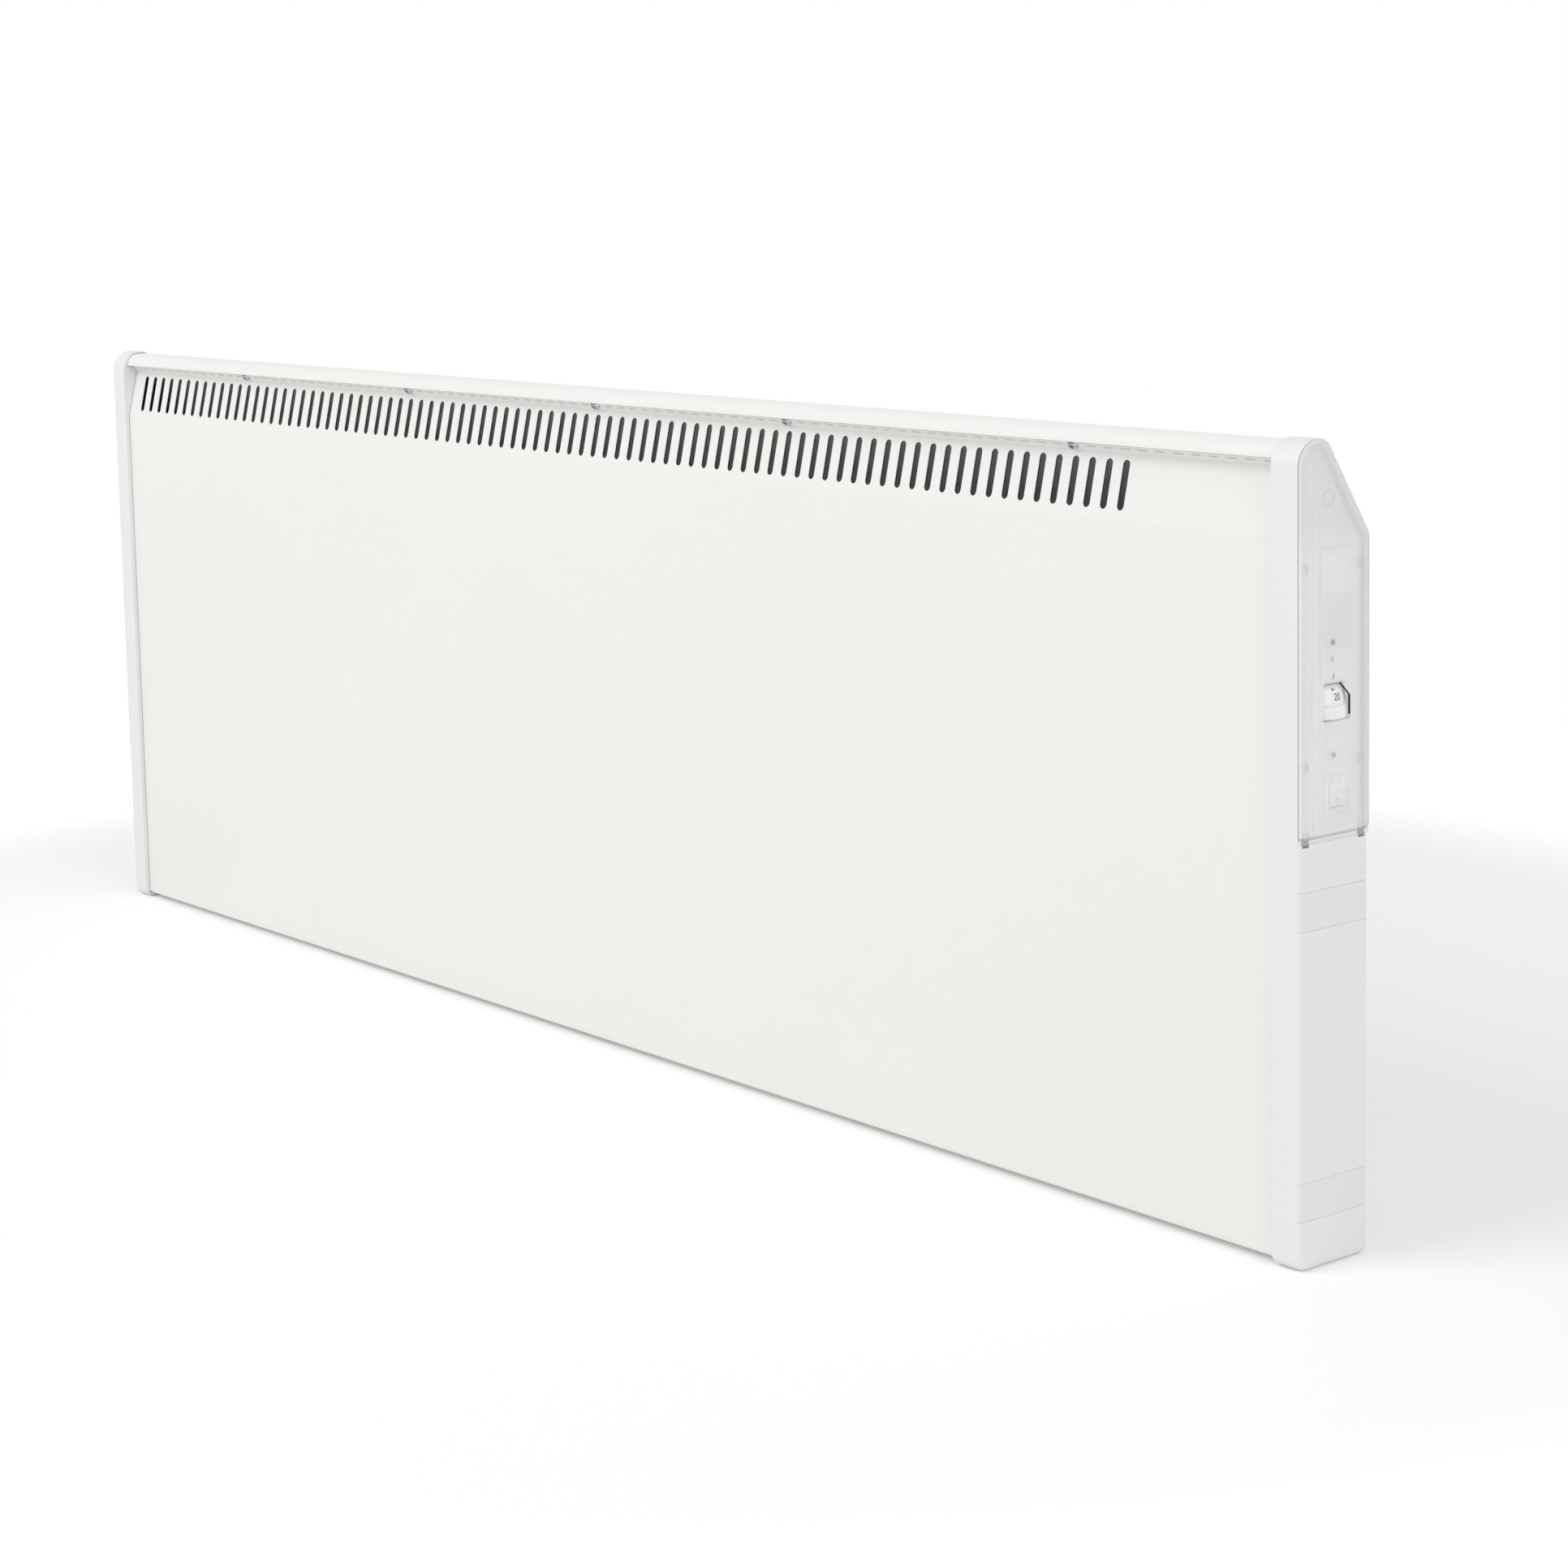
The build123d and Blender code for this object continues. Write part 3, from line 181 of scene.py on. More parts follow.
def coordinate(place, axis):
    # 0 for X, 1 for Y, 2 for Z
    return node(place.tree, "ShaderNodeSeparateXYZ", {}, {0: place}, out=axis)


def noise(place, scale, detail=2.0):
    return node(place.tree, "ShaderNodeTexNoise", {}, {"Vector": place, "Scale": scale, "Detail": detail})


def mixed(share, first, second):
    # the first colour where share is 0, the second where it is 1
    return node(share.tree, "ShaderNodeMix", {"data_type": "RGBA"}, {0: share, 6: first, 7: second}, out=2)


def ramp(value, start, stop):
    # smooth step from 0 at start to 1 at stop
    return node(value.tree, "ShaderNodeMapRange", {"interpolation_type": "SMOOTHSTEP"},
                {"Value": value, "From Min": start, "From Max": stop})


def distance(y, z, centre):
    # from a point of the end's face
    dy, dz = y - centre[0], z - centre[1]
    return (dy * dy + dz * dz).maths("SQRT")


def softDots(y, z, dots, radius, core):
    # each dot has its strength inside core, a share of the radius, and fades to 0 at the radius
    share = None
    for dotY, dotZ, strength in dots:
        dot = ramp(distance(y, z, (dotY, dotZ)), radius, radius * core) * strength
        share = dot if share is None else share.maths("MAXIMUM", dot)
    return share


def rgb(r, g, b):
    # sRGB bytes to linear
    def linear(byte):
        level = byte / 255
        return level / 12.92 if level <= 0.04045 else ((level + 0.055) / 1.055) ** 2.4
    return (linear(r), linear(g), linear(b), 1.0)


# painted, moulded and plated finishes: each look says where it differs from the plain one
plainLook = {"grainScale": 1500.0, "driftScale": 4.0, "bump": 0.05, "depth": 0.0001, "rough": 0.4,
             "roughDrift": 0.05, "metal": 0.0, "coat": 0.0, "coatRough": 0.1, "alpha": 1.0, "ior": 1.46,
             "spangleShare": 0.4, "hollowFade": 0.0006}

looks = {
    "casingPaint": {"colour": rgb(241, 241, 239), "shade": rgb(238, 239, 234), "grainScale": 900.0,
                    "bump": 0.10, "depth": 0.0002, "rough": 0.32, "roughDrift": 0.06, "coat": 0.25,
                    "coatRough": 0.22},
    # painted shade on the floors of the pressed dimples
    "pressedPaint": {"colour": rgb(223, 223, 220), "shade": rgb(219, 220, 216), "grainScale": 900.0,
                     "bump": 0.10, "depth": 0.0002, "roughDrift": 0.06},
    "capPlastic": {"colour": rgb(236, 238, 237), "shade": rgb(233, 235, 234), "grainScale": 1400.0,
                   "bump": 0.12, "depth": 0.0002, "roughDrift": 0.06},
    "bandPlastic": {"colour": rgb(233, 235, 235), "shade": rgb(230, 232, 232), "grainScale": 1400.0,
                    "bump": 0.12, "depth": 0.0002, "rough": 0.44, "roughDrift": 0.06},
    "controlPlastic": {"colour": rgb(242, 243, 242), "shade": rgb(239, 240, 239),
                       "bump": 0.15, "depth": 0.0002, "rough": 0.5},
    # painted shade in the recess behind the wheel: dark past a depth along X
    "housingPlastic": {"colour": rgb(236, 237, 236), "shade": rgb(233, 234, 233),
                       "bump": 0.15, "depth": 0.0002, "rough": 0.5,
                       "hollow": rgb(26, 26, 27), "hollowBehind": (endFace - 10.0) / 1000},
    "labelPlastic": {"colour": rgb(206, 207, 206), "shade": rgb(202, 203, 202), "bump": 0.10, "rough": 0.5},
    "dialPlastic": {"colour": rgb(246, 247, 247), "shade": rgb(243, 244, 244), "rough": 0.3},
    "printInk": {"colour": rgb(84, 86, 89), "shade": rgb(96, 98, 101), "grainScale": 2600.0,
                 "rough": 0.55, "roughDrift": 0.1},
    # snap hooks tinted blue: painted reflection, the bluish glint of light in the clear clips
    "hookPlastic": {"colour": rgb(72, 138, 178), "shade": rgb(66, 130, 170)},
    "gapShadow": {"colour": rgb(30, 30, 31), "shade": rgb(26, 26, 27), "rough": 0.7},
    "frostRib": {"colour": rgb(206, 207, 208), "shade": rgb(200, 201, 202), "alpha": 0.75},
    # painted shade on the cover's outer wall, along the seam with the cap
    "frostEdge": {"colour": rgb(126, 126, 124), "shade": rgb(118, 118, 116)},
    # hinge ears: the cover's plastic greyed by painted shade under its lower edge
    "earPlastic": {"colour": rgb(176, 179, 184), "shade": rgb(164, 168, 173)},
    "darkPlastic": {"colour": rgb(40, 41, 43), "shade": rgb(34, 35, 37), "grainScale": 1200.0,
                    "bump": 0.2, "depth": 0.0002, "rough": 0.5, "roughDrift": 0.08},
    "zincPlate": {"colour": rgb(186, 192, 196), "shade": rgb(150, 156, 162), "grainScale": 240.0,
                  "bump": 0.08, "depth": 0.0002, "rough": 0.34, "roughDrift": 0.14, "metal": 1.0,
                  "spangle": 90.0, "driftScale": 14.0},
    # painted shade of the unlit inside: dark slate on the inner plates, the inner faces of panel and rail, and the slot
    # walls
    "ductPaint": {"colour": rgb(54, 62, 67), "shade": rgb(44, 52, 57), "grainScale": 700.0,
                  "bump": 0.08, "depth": 0.0002, "rough": 0.5, "roughDrift": 0.1},
    "screwZinc": {"colour": rgb(214, 218, 222), "shade": rgb(186, 192, 198), "grainScale": 600.0,
                  "bump": 0.06, "rough": 0.24, "roughDrift": 0.1, "metal": 1.0},
    "elementAluminium": {"colour": rgb(170, 174, 178), "shade": rgb(150, 154, 158), "grainScale": 300.0,
                         "bump": 0.1, "depth": 0.0002, "rough": 0.45, "roughDrift": 0.1, "metal": 1.0},
    "siliconeRubber": {"colour": rgb(176, 92, 70), "shade": rgb(160, 82, 62), "grainScale": 500.0,
                       "bump": 0.1, "depth": 0.0002, "rough": 0.7},
    "boardLacquer": {"colour": rgb(38, 96, 62), "shade": rgb(30, 82, 52), "grainScale": 700.0,
                     "rough": 0.35, "roughDrift": 0.1},
}


def paintedMaterial(name, look):
    # fine grain bump, slow tone drift, a faint roughness change and, where asked for, zinc spangle
    # or painted shade in a hollow, dark past a depth along X
    material, tree = newMaterial(name)
    place = objectPlace(tree)
    grain = noise(place, look["grainScale"], 3.0)
    drift = noise(place, look["driftScale"])
    tone = mixed(drift, look["colour"], look["shade"])
    if "spangle" in look:
        crystals = node(tree, "ShaderNodeTexVoronoi", {}, {"Vector": place, "Scale": look["spangle"]}, out=1)
        cell = node(tree, "ShaderNodeSeparateColor", {}, {0: crystals})
        tone = mixed(cell * look["spangleShare"], tone, look["shade"])
    # painted shade: the hollow's dark colour past a depth along X
    if "hollow" in look:
        start = look["hollowBehind"]
        inside = node(tree, "ShaderNodeMapRange", {}, {
            "Value": coordinate(place, 0), "From Min": start, "From Max": start - look["hollowFade"]})
        tone = mixed(inside, tone, look["hollow"])
    finishSurface(tree, node(tree, "ShaderNodeBsdfPrincipled", {}, {
        "Base Color": tone,
        "Roughness": drift * look["roughDrift"] + look["rough"],
        "Metallic": look["metal"],
        "IOR": look["ior"],
        "Coat Weight": look["coat"],
        "Coat Roughness": look["coatRough"],
        "Alpha": look["alpha"],
        "Normal": node(tree, "ShaderNodeBump", {},
                       {"Height": grain, "Strength": look["bump"], "Distance": look["depth"]}),
    }))
    return material


finishes = {name: paintedMaterial(name, {**plainLook, **look}) for name, look in looks.items()}

# the frosted cover, in metres on its face, as (Y, Z)
frostLook = {
    "colour": rgb(248, 249, 250), "shade": rgb(246, 247, 248), "grainScale": 1300.0, "driftScale": 22.0,
    "bump": 0.08, "depth": 0.0002, "rough": 0.36, "roughDrift": 0.08, "ior": 1.49,
    "outsideAlpha": 0.64, "insideAlpha": 0.24,
    # darker bands: a tone over the upper part, painted shade over the solid rear border and painted shadow along the
    # foot: axis, from, to, colour
    "bands": (("z", 0.334, 0.352, rgb(236, 237, 239)), ("y", 0.0166, 0.0172, rgb(236, 237, 237)),
              ("z", coverFoot / 1000 + 0.0016, coverFoot / 1000 + 0.0010, rgb(206, 206, 202))),
    # soft dark dots over the lamps: Y, Z, strength
    "dots": ((-0.0028, 0.2950, 0.72), (-0.0030, 0.2870, 0.34), (-0.0022, 0.2425, 0.58)),
    "dotRadius": 0.0023, "dotCore": 0.15, "dotColour": rgb(60, 60, 62), "dotAlpha": 0.97,
    # clearer patch over the rocker's lower half, denser one beside the wheel: middle, half, alpha
    "patches": (((0.0009, 0.2206), (0.0064, 0.0054), 0.46), ((-0.0132, 0.2670), (0.0034, 0.0108), 0.76)),
    "patchFade": (0.0012, -0.0008),
    # two shallow circles: Y, Z, radius; the thumb circle is open above and below
    "ring": (-0.0058, 0.3618, 0.00345), "thumb": (0.0008, 0.2513, 0.0074), "thumbOpening": (0.0035, 0.0062),
    "thumbShare": 0.45, "grooveWidth": 0.0003, "grooveCore": 0.3, "grooveDepth": 0.00025,
}


def frostedMaterial(name, look, alpha, moulded):
    # frosted plastic: a fine moulded grain, and part of the light passes straight through; the moulded
    # outside also has the darker tone and painted shade bands, dots, patches and circles of its look
    material, tree = newMaterial(name)
    place = objectPlace(tree)
    drift = noise(place, look["driftScale"])
    tone = mixed(drift, look["colour"], look["shade"])
    bump = node(tree, "ShaderNodeBump", {}, {
        "Height": noise(place, look["grainScale"]), "Strength": look["bump"], "Distance": look["depth"]})
    clarity = alpha
    if moulded:
        y, z = coordinate(place, 1), coordinate(place, 2)
        for axis, start, stop, colour in look["bands"]:
            tone = mixed(ramp({"y": y, "z": z}[axis], start, stop), tone, colour)
        dots = softDots(y, z, look["dots"], look["dotRadius"], look["dotCore"])
        tone = mixed(dots, tone, look["dotColour"])
        clarity = dots * (look["dotAlpha"] - alpha) + alpha
        outer, inner = look["patchFade"]
        for middle, half, patchAlpha in look["patches"]:
            inY, inZ = (ramp((along - centre).maths("ABSOLUTE"), reach + outer, reach + inner)
                        for along, centre, reach in zip((y, z), middle, half))
            clarity = inY * inZ * (patchAlpha - alpha) + clarity
        ring, thumb = (
            ramp((distance(y, z, circle) - circle[2]).maths("ABSOLUTE"),
                 look["grooveWidth"], look["grooveWidth"] * look["grooveCore"])
            for circle in (look["ring"], look["thumb"]))
        sides = ramp((y - look["thumb"][0]).maths("ABSOLUTE"), *look["thumbOpening"])
        relief = ring.maths("MAXIMUM", thumb * sides * look["thumbShare"])
        bump = node(tree, "ShaderNodeBump", {"invert": True},
                    {"Height": relief, "Strength": 1.0, "Distance": look["grooveDepth"], "Normal": bump})
    finishSurface(tree, node(tree, "ShaderNodeBsdfPrincipled", {}, {
        "Base Color": tone,
        "Roughness": drift * look["roughDrift"] + look["rough"],
        "IOR": look["ior"],
        "Alpha": clarity,
        "Normal": bump,
    }))
    return material


finishes["frostedCover"] = frostedMaterial("frostedCover", frostLook, frostLook["outsideAlpha"], True)
finishes["frostedInside"] = frostedMaterial("frostedInside", frostLook, frostLook["insideAlpha"], False)

# light pipes: each one's height in metres and how dark its middle is
lampLook = {"lens": rgb(120, 121, 123), "rim": rgb(236, 237, 237), "radius": 0.0016, "core": 0.3,
            "rough": 0.25, "ior": 1.49, "lamps": ((0.2953, 1.0), (0.2874, 0.75), (0.2428, 0.9))}


def lampMaterial(look):
    # dark tinted middle, paler towards the rim
    low, high = nodeBox("light_pipes")
    middle = (low[1] + high[1]) / 2000
    material, tree = newMaterial("lampLens")
    place = objectPlace(tree)
    dots = [(middle, height, strength) for height, strength in look["lamps"]]
    dark = softDots(coordinate(place, 1), coordinate(place, 2), dots, look["radius"], look["core"])
    finishSurface(tree, node(tree, "ShaderNodeBsdfPrincipled", {}, {
        "Base Color": mixed(dark, look["rim"], look["lens"]), "Roughness": look["rough"], "IOR": look["ior"]}))
    return material


finishes["lampLens"] = lampMaterial(lampLook)


# mesh tools; shapes are worked out in millimetres, and makePiece turns them into metres
def gridFaces(rows, columns, wrapColumns=False):
    # one quad between each four neighbours of a grid of points
    r = np.arange(rows - 1)[:, None]
    c = np.arange(columns if wrapColumns else columns - 1)[None, :]
    after = (c + 1) % columns
    corners = (r * columns + c, r * columns + after, (r + 1) * columns + after, (r + 1) * columns + c)
    return np.stack(np.broadcast_arrays(*corners), -1).reshape(-1, 4)


def turned(points, quads, facing):
    # quads turned to look along facing, or away from the grid's own middle where it is None
    a, b, c, d = (points[quads[:, k]] for k in range(4))
    normal = np.cross(c - a, d - b)
    look = (a + c) / 2 - points.mean(0) if facing is None else np.broadcast_to(facing, normal.shape)
    return quads[:, ::-1] if (normal * look).sum() < 0 else quads


def surface(grid, facing=None, wrap=False, finish=0):
    # a grid of points as one part of a piece: points, quads and the finish's number
    rows, columns = grid.shape[:2]
    points = grid.reshape(-1, 3)
    return points, turned(points, gridFaces(rows, columns, wrap), facing), finish


def makePiece(name, parts, finishNames, body, replaced=None, sharp=32.0, weld=0.0015, sliver=0.0001):
    # joins the parts, welds their shared edges and shades them smooth up to the sharp angle
    start = 0
    points, quads, slots = [], [], []
    for part, faces, finish in parts:
        points.append(part)
        quads.append(faces + start)
        slots.append(np.full(len(faces), finish))
        start += len(part)
    mesh = bpy.data.meshes.new(name)
    mesh.from_pydata((np.concatenate(points) * 0.001).tolist(), [], np.concatenate(quads).tolist())
    for finish in finishNames:
        mesh.materials.append(finishes[finish])
    mesh.polygons.foreach_set("material_index", np.concatenate(slots).astype(np.int32))
    work = bmesh.new()
    work.from_mesh(mesh)
    bmesh.ops.remove_doubles(work, verts=work.verts, dist=weld * 0.001)
    bmesh.ops.dissolve_degenerate(work, edges=work.edges, dist=sliver * 0.001)
    work.to_mesh(mesh)
    work.free()
    mesh.shade_smooth()
    mesh.set_sharp_from_angle(angle=math.radians(sharp))
    piece = addObject(name, mesh)
    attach(piece, body)
    if replaced:
        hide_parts(replaced)
    return piece


def flatRing(x, outline):
    # an outline of (y, z) points stood up at x, which may differ from point to point
    return np.stack((np.broadcast_to(x, len(outline)), *outline.T), -1)


def boxCorners(low, high, grow=0.0):
    # a rectangle's corners, set out by grow
    (y0, z0), (y1, z1) = low, high
    return ((y0 - grow, z0 - grow), (y1 + grow, z0 - grow), (y1 + grow, z1 + grow), (y0 - grow, z1 + grow))


def foldedLine(corners, radii, steps):
    # straight runs joined by arcs: distance along the line, place, and normal towards the inside
    corners = np.array(corners, float)
    runs = np.diff(corners, axis=0)
    runs /= np.linalg.norm(runs, axis=1)[:, None]
    places, normals = [corners[0][None]], [np.array([[runs[0][1], -runs[0][0]]])]
    for corner, before, after, radius in zip(corners[1:-1], runs, runs[1:], radii):
        turn = math.atan2(before[0] * after[1] - before[1] * after[0], before @ after)
        angles = np.linspace(0, turn, steps + 1)
        side = math.copysign(1, turn)
        left = np.array([-before[1], before[0]]) * side
        start = corner - before * radius * math.tan(abs(turn) / 2)
        centre = start + left * radius
        cos, sin = np.cos(angles)[:, None], np.sin(angles)[:, None]
        spoke = -left[None] * cos + before[None] * np.abs(sin)
        places.append(centre + spoke * radius)
        heading = before[None] * cos + np.array([-before[1], before[0]])[None] * sin
        normals.append(np.stack((heading[:, 1], -heading[:, 0]), -1))
    places.append(corners[-1][None])
    normals.append(np.array([[runs[-1][1], -runs[-1][0]]]))
    places, normals = np.concatenate(places), np.concatenate(normals)
    along = np.concatenate(([0], np.cumsum(np.linalg.norm(np.diff(places, axis=0), axis=1))))
    return along, places, normals


def onSheet(line, x, s, depth):
    # the flat blank's point (x, s), sunk by depth, carried onto the folded line
    along, places, normals = line
    x, s, depth = np.broadcast_arrays(x, s, depth)
    y = np.interp(s, along, places[:, 0]) + depth * np.interp(s, along, normals[:, 0])
    z = np.interp(s, along, places[:, 1]) + depth * np.interp(s, along, normals[:, 1])
    return np.stack((x, y, z), -1)


def roundedLine(corners, radii, splits, count=9, least=0.05):
    # closed outline: each corner an arc of count points, each run in the given number of splits
    corners = np.array(corners, float)
    arcs = []
    for k, corner in enumerate(corners):
        before = corner - corners[k - 1]
        after = corners[(k + 1) % len(corners)] - corner
        before, after = before / np.linalg.norm(before), after / np.linalg.norm(after)
        turn = math.atan2(before[0] * after[1] - before[1] * after[0], before @ after)
        radius = max(radii[k], least)
        left = np.array([-before[1], before[0]]) * math.copysign(1, turn)
        angles = np.linspace(0, abs(turn), count)[:, None]
        arcs.append(corner - before * (radius * math.tan(abs(turn) / 2)) + left * radius
                    - left * radius * np.cos(angles) + before * radius * np.sin(angles))
    outline = []
    for k, arc in enumerate(arcs):
        following = arcs[(k + 1) % len(arcs)][0]
        outline += [arc, np.linspace(arc[-1], following, splits[k] + 1)[1:-1]]
    return np.concatenate(outline)


def aroundPoint(outline, centre, angles, steps=40):
    # the outline, divided finely, read at the given angles round a point inside it
    pairs = zip(outline, np.roll(outline, -1, 0))
    dense = np.concatenate([np.linspace(a, b, steps, endpoint=False) for a, b in pairs])
    away = dense - centre
    turn = np.arctan2(away[:, 1], away[:, 0])
    order = np.argsort(turn)
    reach = np.interp(angles, turn[order], np.linalg.norm(away, axis=1)[order], period=2 * np.pi)
    return centre + np.stack((np.cos(angles), np.sin(angles)), -1) * reach[:, None]


def roundedBar(centre, half, finish, power=5.0, rows=9, columns=16):
    # superellipsoid: each unit direction's coordinates raised to 2/power, so a box with soft edges
    u = np.linspace(-np.pi / 2, np.pi / 2, rows)[:, None]
    v = np.linspace(0, 2 * np.pi, columns, endpoint=False)[None]
    shaped = lambda t: np.sign(t) * np.abs(t) ** (2 / power)
    x = shaped(np.cos(u)) * shaped(np.cos(v)) * half[0] + centre[0]
    y = shaped(np.cos(u)) * shaped(np.sin(v)) * half[1] + centre[1]
    z = shaped(np.sin(u)) * np.ones_like(v) * half[2] + centre[2]
    return surface(np.stack(np.broadcast_arrays(x, y, z), -1), None, True, finish)


# front panel: one sheet, punched and pressed flat, then folded
panelShape = {
    "sheet": 1.2, "hem": 12.0, "leanDrop": 45.0, "leanDepth": 7.3, "foldDrop": 13.4, "undercut": 5.4,
    "hemBend": 2.1, "leanBend": 6.6, "foldBend": 0.9, "bendSteps": 6, "columns": 25, "endColumns": 4,
    "slotWidth": 4.5, "slotLength": 24.6, "slotPitch": 11.65, "slotCount": 84, "slotDrop": 28.6,
    "firstSlot": 33.5, "slotRoll": 0.32, "rollSteps": 4, "slotRim": 0.5, "slotBurr": 0.1,
    "belowSlots": 0.7, "aboveSlots": 0.3,
    "dimpleCount": 92, "dimpleLength": 6.0, "dimpleHeight": 1.3, "dimpleDepth": 0.45, "dimpleDrop": 1.0,
    # a dimple's flat, lip and floor, in from its ends and its sides, and how far the lip is pressed
    "dimpleEnds": (-0.5, -0.1, 0.25), "dimpleSides": (-0.3, 0.0, 0.22), "endLip": 0.12, "sideLip": 0.15,
    "pressedFrom": 0.1,
    # places along the pitch where a rail screw takes the dimple's place
    "screwSlots": (12, 29, 46, 61, 80),
}


def slotCell(shape, low, high, arcCount=11, sideCount=4):
    # rings of one cell of the blank, as (across, along, depth): the cell's border, the stadium
    # outline set out by a falling amount, its rolled edge, the cut wall and the inner border
    halfWidth = shape["slotWidth"] / 2
    reach = shape["slotLength"] / 2 - halfWidth
    border = shape["slotPitch"] / 2
    arc = np.linspace(0, np.pi, arcCount)
    side = np.linspace(1, -1, sideCount + 2)[1:-1]
    across, ones = np.linspace(border, -border, arcCount), np.ones(sideCount)
    ex = np.concatenate((np.cos(arc), -ones, -np.cos(arc), ones))
    es = np.concatenate((np.sin(arc), 0 * ones, -np.sin(arc), 0 * ones))
    shift = np.concatenate((np.full(arcCount, reach), side * reach, np.full(arcCount, -reach), -side * reach))
    bx = np.concatenate((across, -border * ones, -across, border * ones))
    bs = np.concatenate((np.full(arcCount, high), np.interp(side, (-1, 1), (low, high)),
                         np.full(arcCount, low), np.interp(-side, (-1, 1), (low, high))))
    sheet, roll, burr = shape["sheet"], shape["slotRoll"], shape["slotBurr"]
    turns = np.linspace(0, np.pi / 2, shape["rollSteps"])
    rings = [(None, 0.0), (roll + shape["slotRim"], 0.0)]
    rings += [(roll * (1 - math.sin(turn)), roll * (1 - math.cos(turn))) for turn in turns]
    rings += [(0.0, sheet - burr), (burr, sheet), (None, sheet)]
    cell = []
    for outset, depth in rings:
        x, s = (bx, bs) if outset is None else (ex * (halfWidth + outset), es * (halfWidth + outset) + shift)
        cell.append(np.stack((x, s, np.full(len(x), depth)), -1))
    return np.array(cell)


def pressProfile(half, offsets, lip):
    # places across a dimple from its middle, and the share of its depth at each
    near = np.array(offsets) - half
    return np.concatenate((near, -near[::-1])), np.array([0, lip, 1, 1, lip, 0])


def makeFrontPanel(shape):
    # strips of the blank, each a grid of (x, distance along the fold line, depth), carried onto that line
    painted, insideShade, pressed = range(3)
    (x0, y, z), x1 = panelLow, panelHigh[0]
    sheet, pitch = shape["sheet"], shape["slotPitch"]
    leanZ, foldZ = bodyTop - shape["leanDrop"], bodyTop - shape["foldDrop"]
    foldY = y + shape["leanDepth"]
    line = foldedLine(
        ((y + shape["hem"], z), (y, z), (y, leanZ), (foldY, foldZ),
         (foldY - shape["undercut"], foldZ + shape["undercut"])),
        (shape["hemBend"], shape["leanBend"], shape["foldBend"]), shape["bendSteps"])
    along, places, _ = line
    bend = shape["bendSteps"] + 1  # points of the line in each bend
    hemEnd, leanStart, leanEnd, foldStart, foldEnd = along[[bend, 2 * bend, 2 * bend + 1, 3 * bend, -1]]
    low, high = leanStart + shape["belowSlots"], leanEnd - shape["aboveSlots"]
    leanLow, leanHigh = places[2 * bend][1], places[2 * bend + 1][1]
    rise = (bodyTop - shape["slotDrop"] - leanLow) / (leanHigh - leanLow)
    middle = leanStart + rise * (leanEnd - leanStart)
    firstX = capLeft + shape["firstSlot"]
    slotX = firstX + pitch * np.arange(shape["slotCount"])
    leftEdge, rightEdge = slotX[0] - pitch / 2, slotX[-1] + pitch / 2
    # slot cells; the cut wall, past the rolled edge, and the inner face have painted shade, dark as the unlit inside
    cell = slotCell(shape, low - middle, high - middle)
    rings, around = cell.shape[:2]
    cells = np.broadcast_to(cell, (len(slotX),) + cell.shape)
    grid = onSheet(line, cells[..., 0] + slotX[:, None, None], cells[..., 1] + middle, cells[..., 2])
    quads = gridFaces(rings, around, True)
    front = quads[:around]
    if (turned(grid[0].reshape(-1, 3), front, (0, -1, 0))[0] != front[0]).any():
        quads = quads[:, ::-1]
    allQuads = quads[None] + (np.arange(len(slotX)) * rings * around)[:, None, None]
    wall = np.arange(len(quads)) // around >= 1 + shape["rollSteps"]
    parts = [(grid.reshape(-1, 3), allQuads[:, chosen].reshape(-1, 4), finish)
             for chosen, finish in ((~wall, painted), (wall, insideShade))]
    # plain stretches: outer and inner faces, beside, below and above the slots
    columns = np.linspace(x0, x1, shape["columns"])
    edges = along[1:]
    lowerRows = np.concatenate(([0], edges[edges < low], [low]))
    upperRows = np.concatenate(([high], edges[(edges > high) & (edges <= foldStart)]))
    for depth, facing, finish in ((0.0, -1, painted), (sheet, 1, insideShade)):
        look = (0, facing, 0)
        for rows in (lowerRows[lowerRows >= hemEnd], upperRows):
            parts.append(surface(onSheet(line, columns[None], rows[:, None], depth), look, finish=finish))
        hemRows = lowerRows[lowerRows <= hemEnd]
        parts.append(surface(onSheet(line, columns[None], hemRows[:, None], depth), (0, facing, facing),
                             finish=finish))
        for start, stop in ((x0, leftEdge), (rightEdge, x1)):
            parts.append(surface(onSheet(line, np.linspace(start, stop, shape["endColumns"])[None],
                                         np.array([low, high])[:, None], depth), look, finish=finish))
    # fold with its pressed dimples, their floors in painted shade
    ends, pressAcross = pressProfile(shape["dimpleLength"] / 2, shape["dimpleEnds"], shape["endLip"])
    sides, pressAlong = pressProfile(shape["dimpleHeight"] / 2, shape["dimpleSides"], shape["sideLip"])
    dimpleX = firstX + pitch * np.setdiff1d(np.arange(shape["dimpleCount"]), shape["screwSlots"])
    foldX = np.concatenate(([x0], (dimpleX[:, None] + ends[None]).ravel(), [x1]))
    pressX = np.concatenate(([0], np.tile(pressAcross, len(dimpleX)), [0]))
    foldMiddle = foldEnd - shape["undercut"] / math.sqrt(2) - shape["dimpleDrop"]
    foldS = np.concatenate(([foldStart], foldMiddle + sides, [foldEnd]))
    pressS = np.concatenate(([0], pressAlong, [0]))
    press = shape["dimpleDepth"] * pressS[:, None] * pressX[None]
    points, quads, _ = surface(onSheet(line, foldX[None], foldS[:, None], press), (0, -1, -1))
    sunk = press.ravel()[quads].min(1) > shape["pressedFrom"] * shape["dimpleDepth"]
    parts += [(points, quads[~sunk], painted), (points, quads[sunk], pressed)]
    parts.append(surface(onSheet(line, columns[None], np.array([foldStart, foldEnd])[:, None], sheet), (0, 1, 1)))
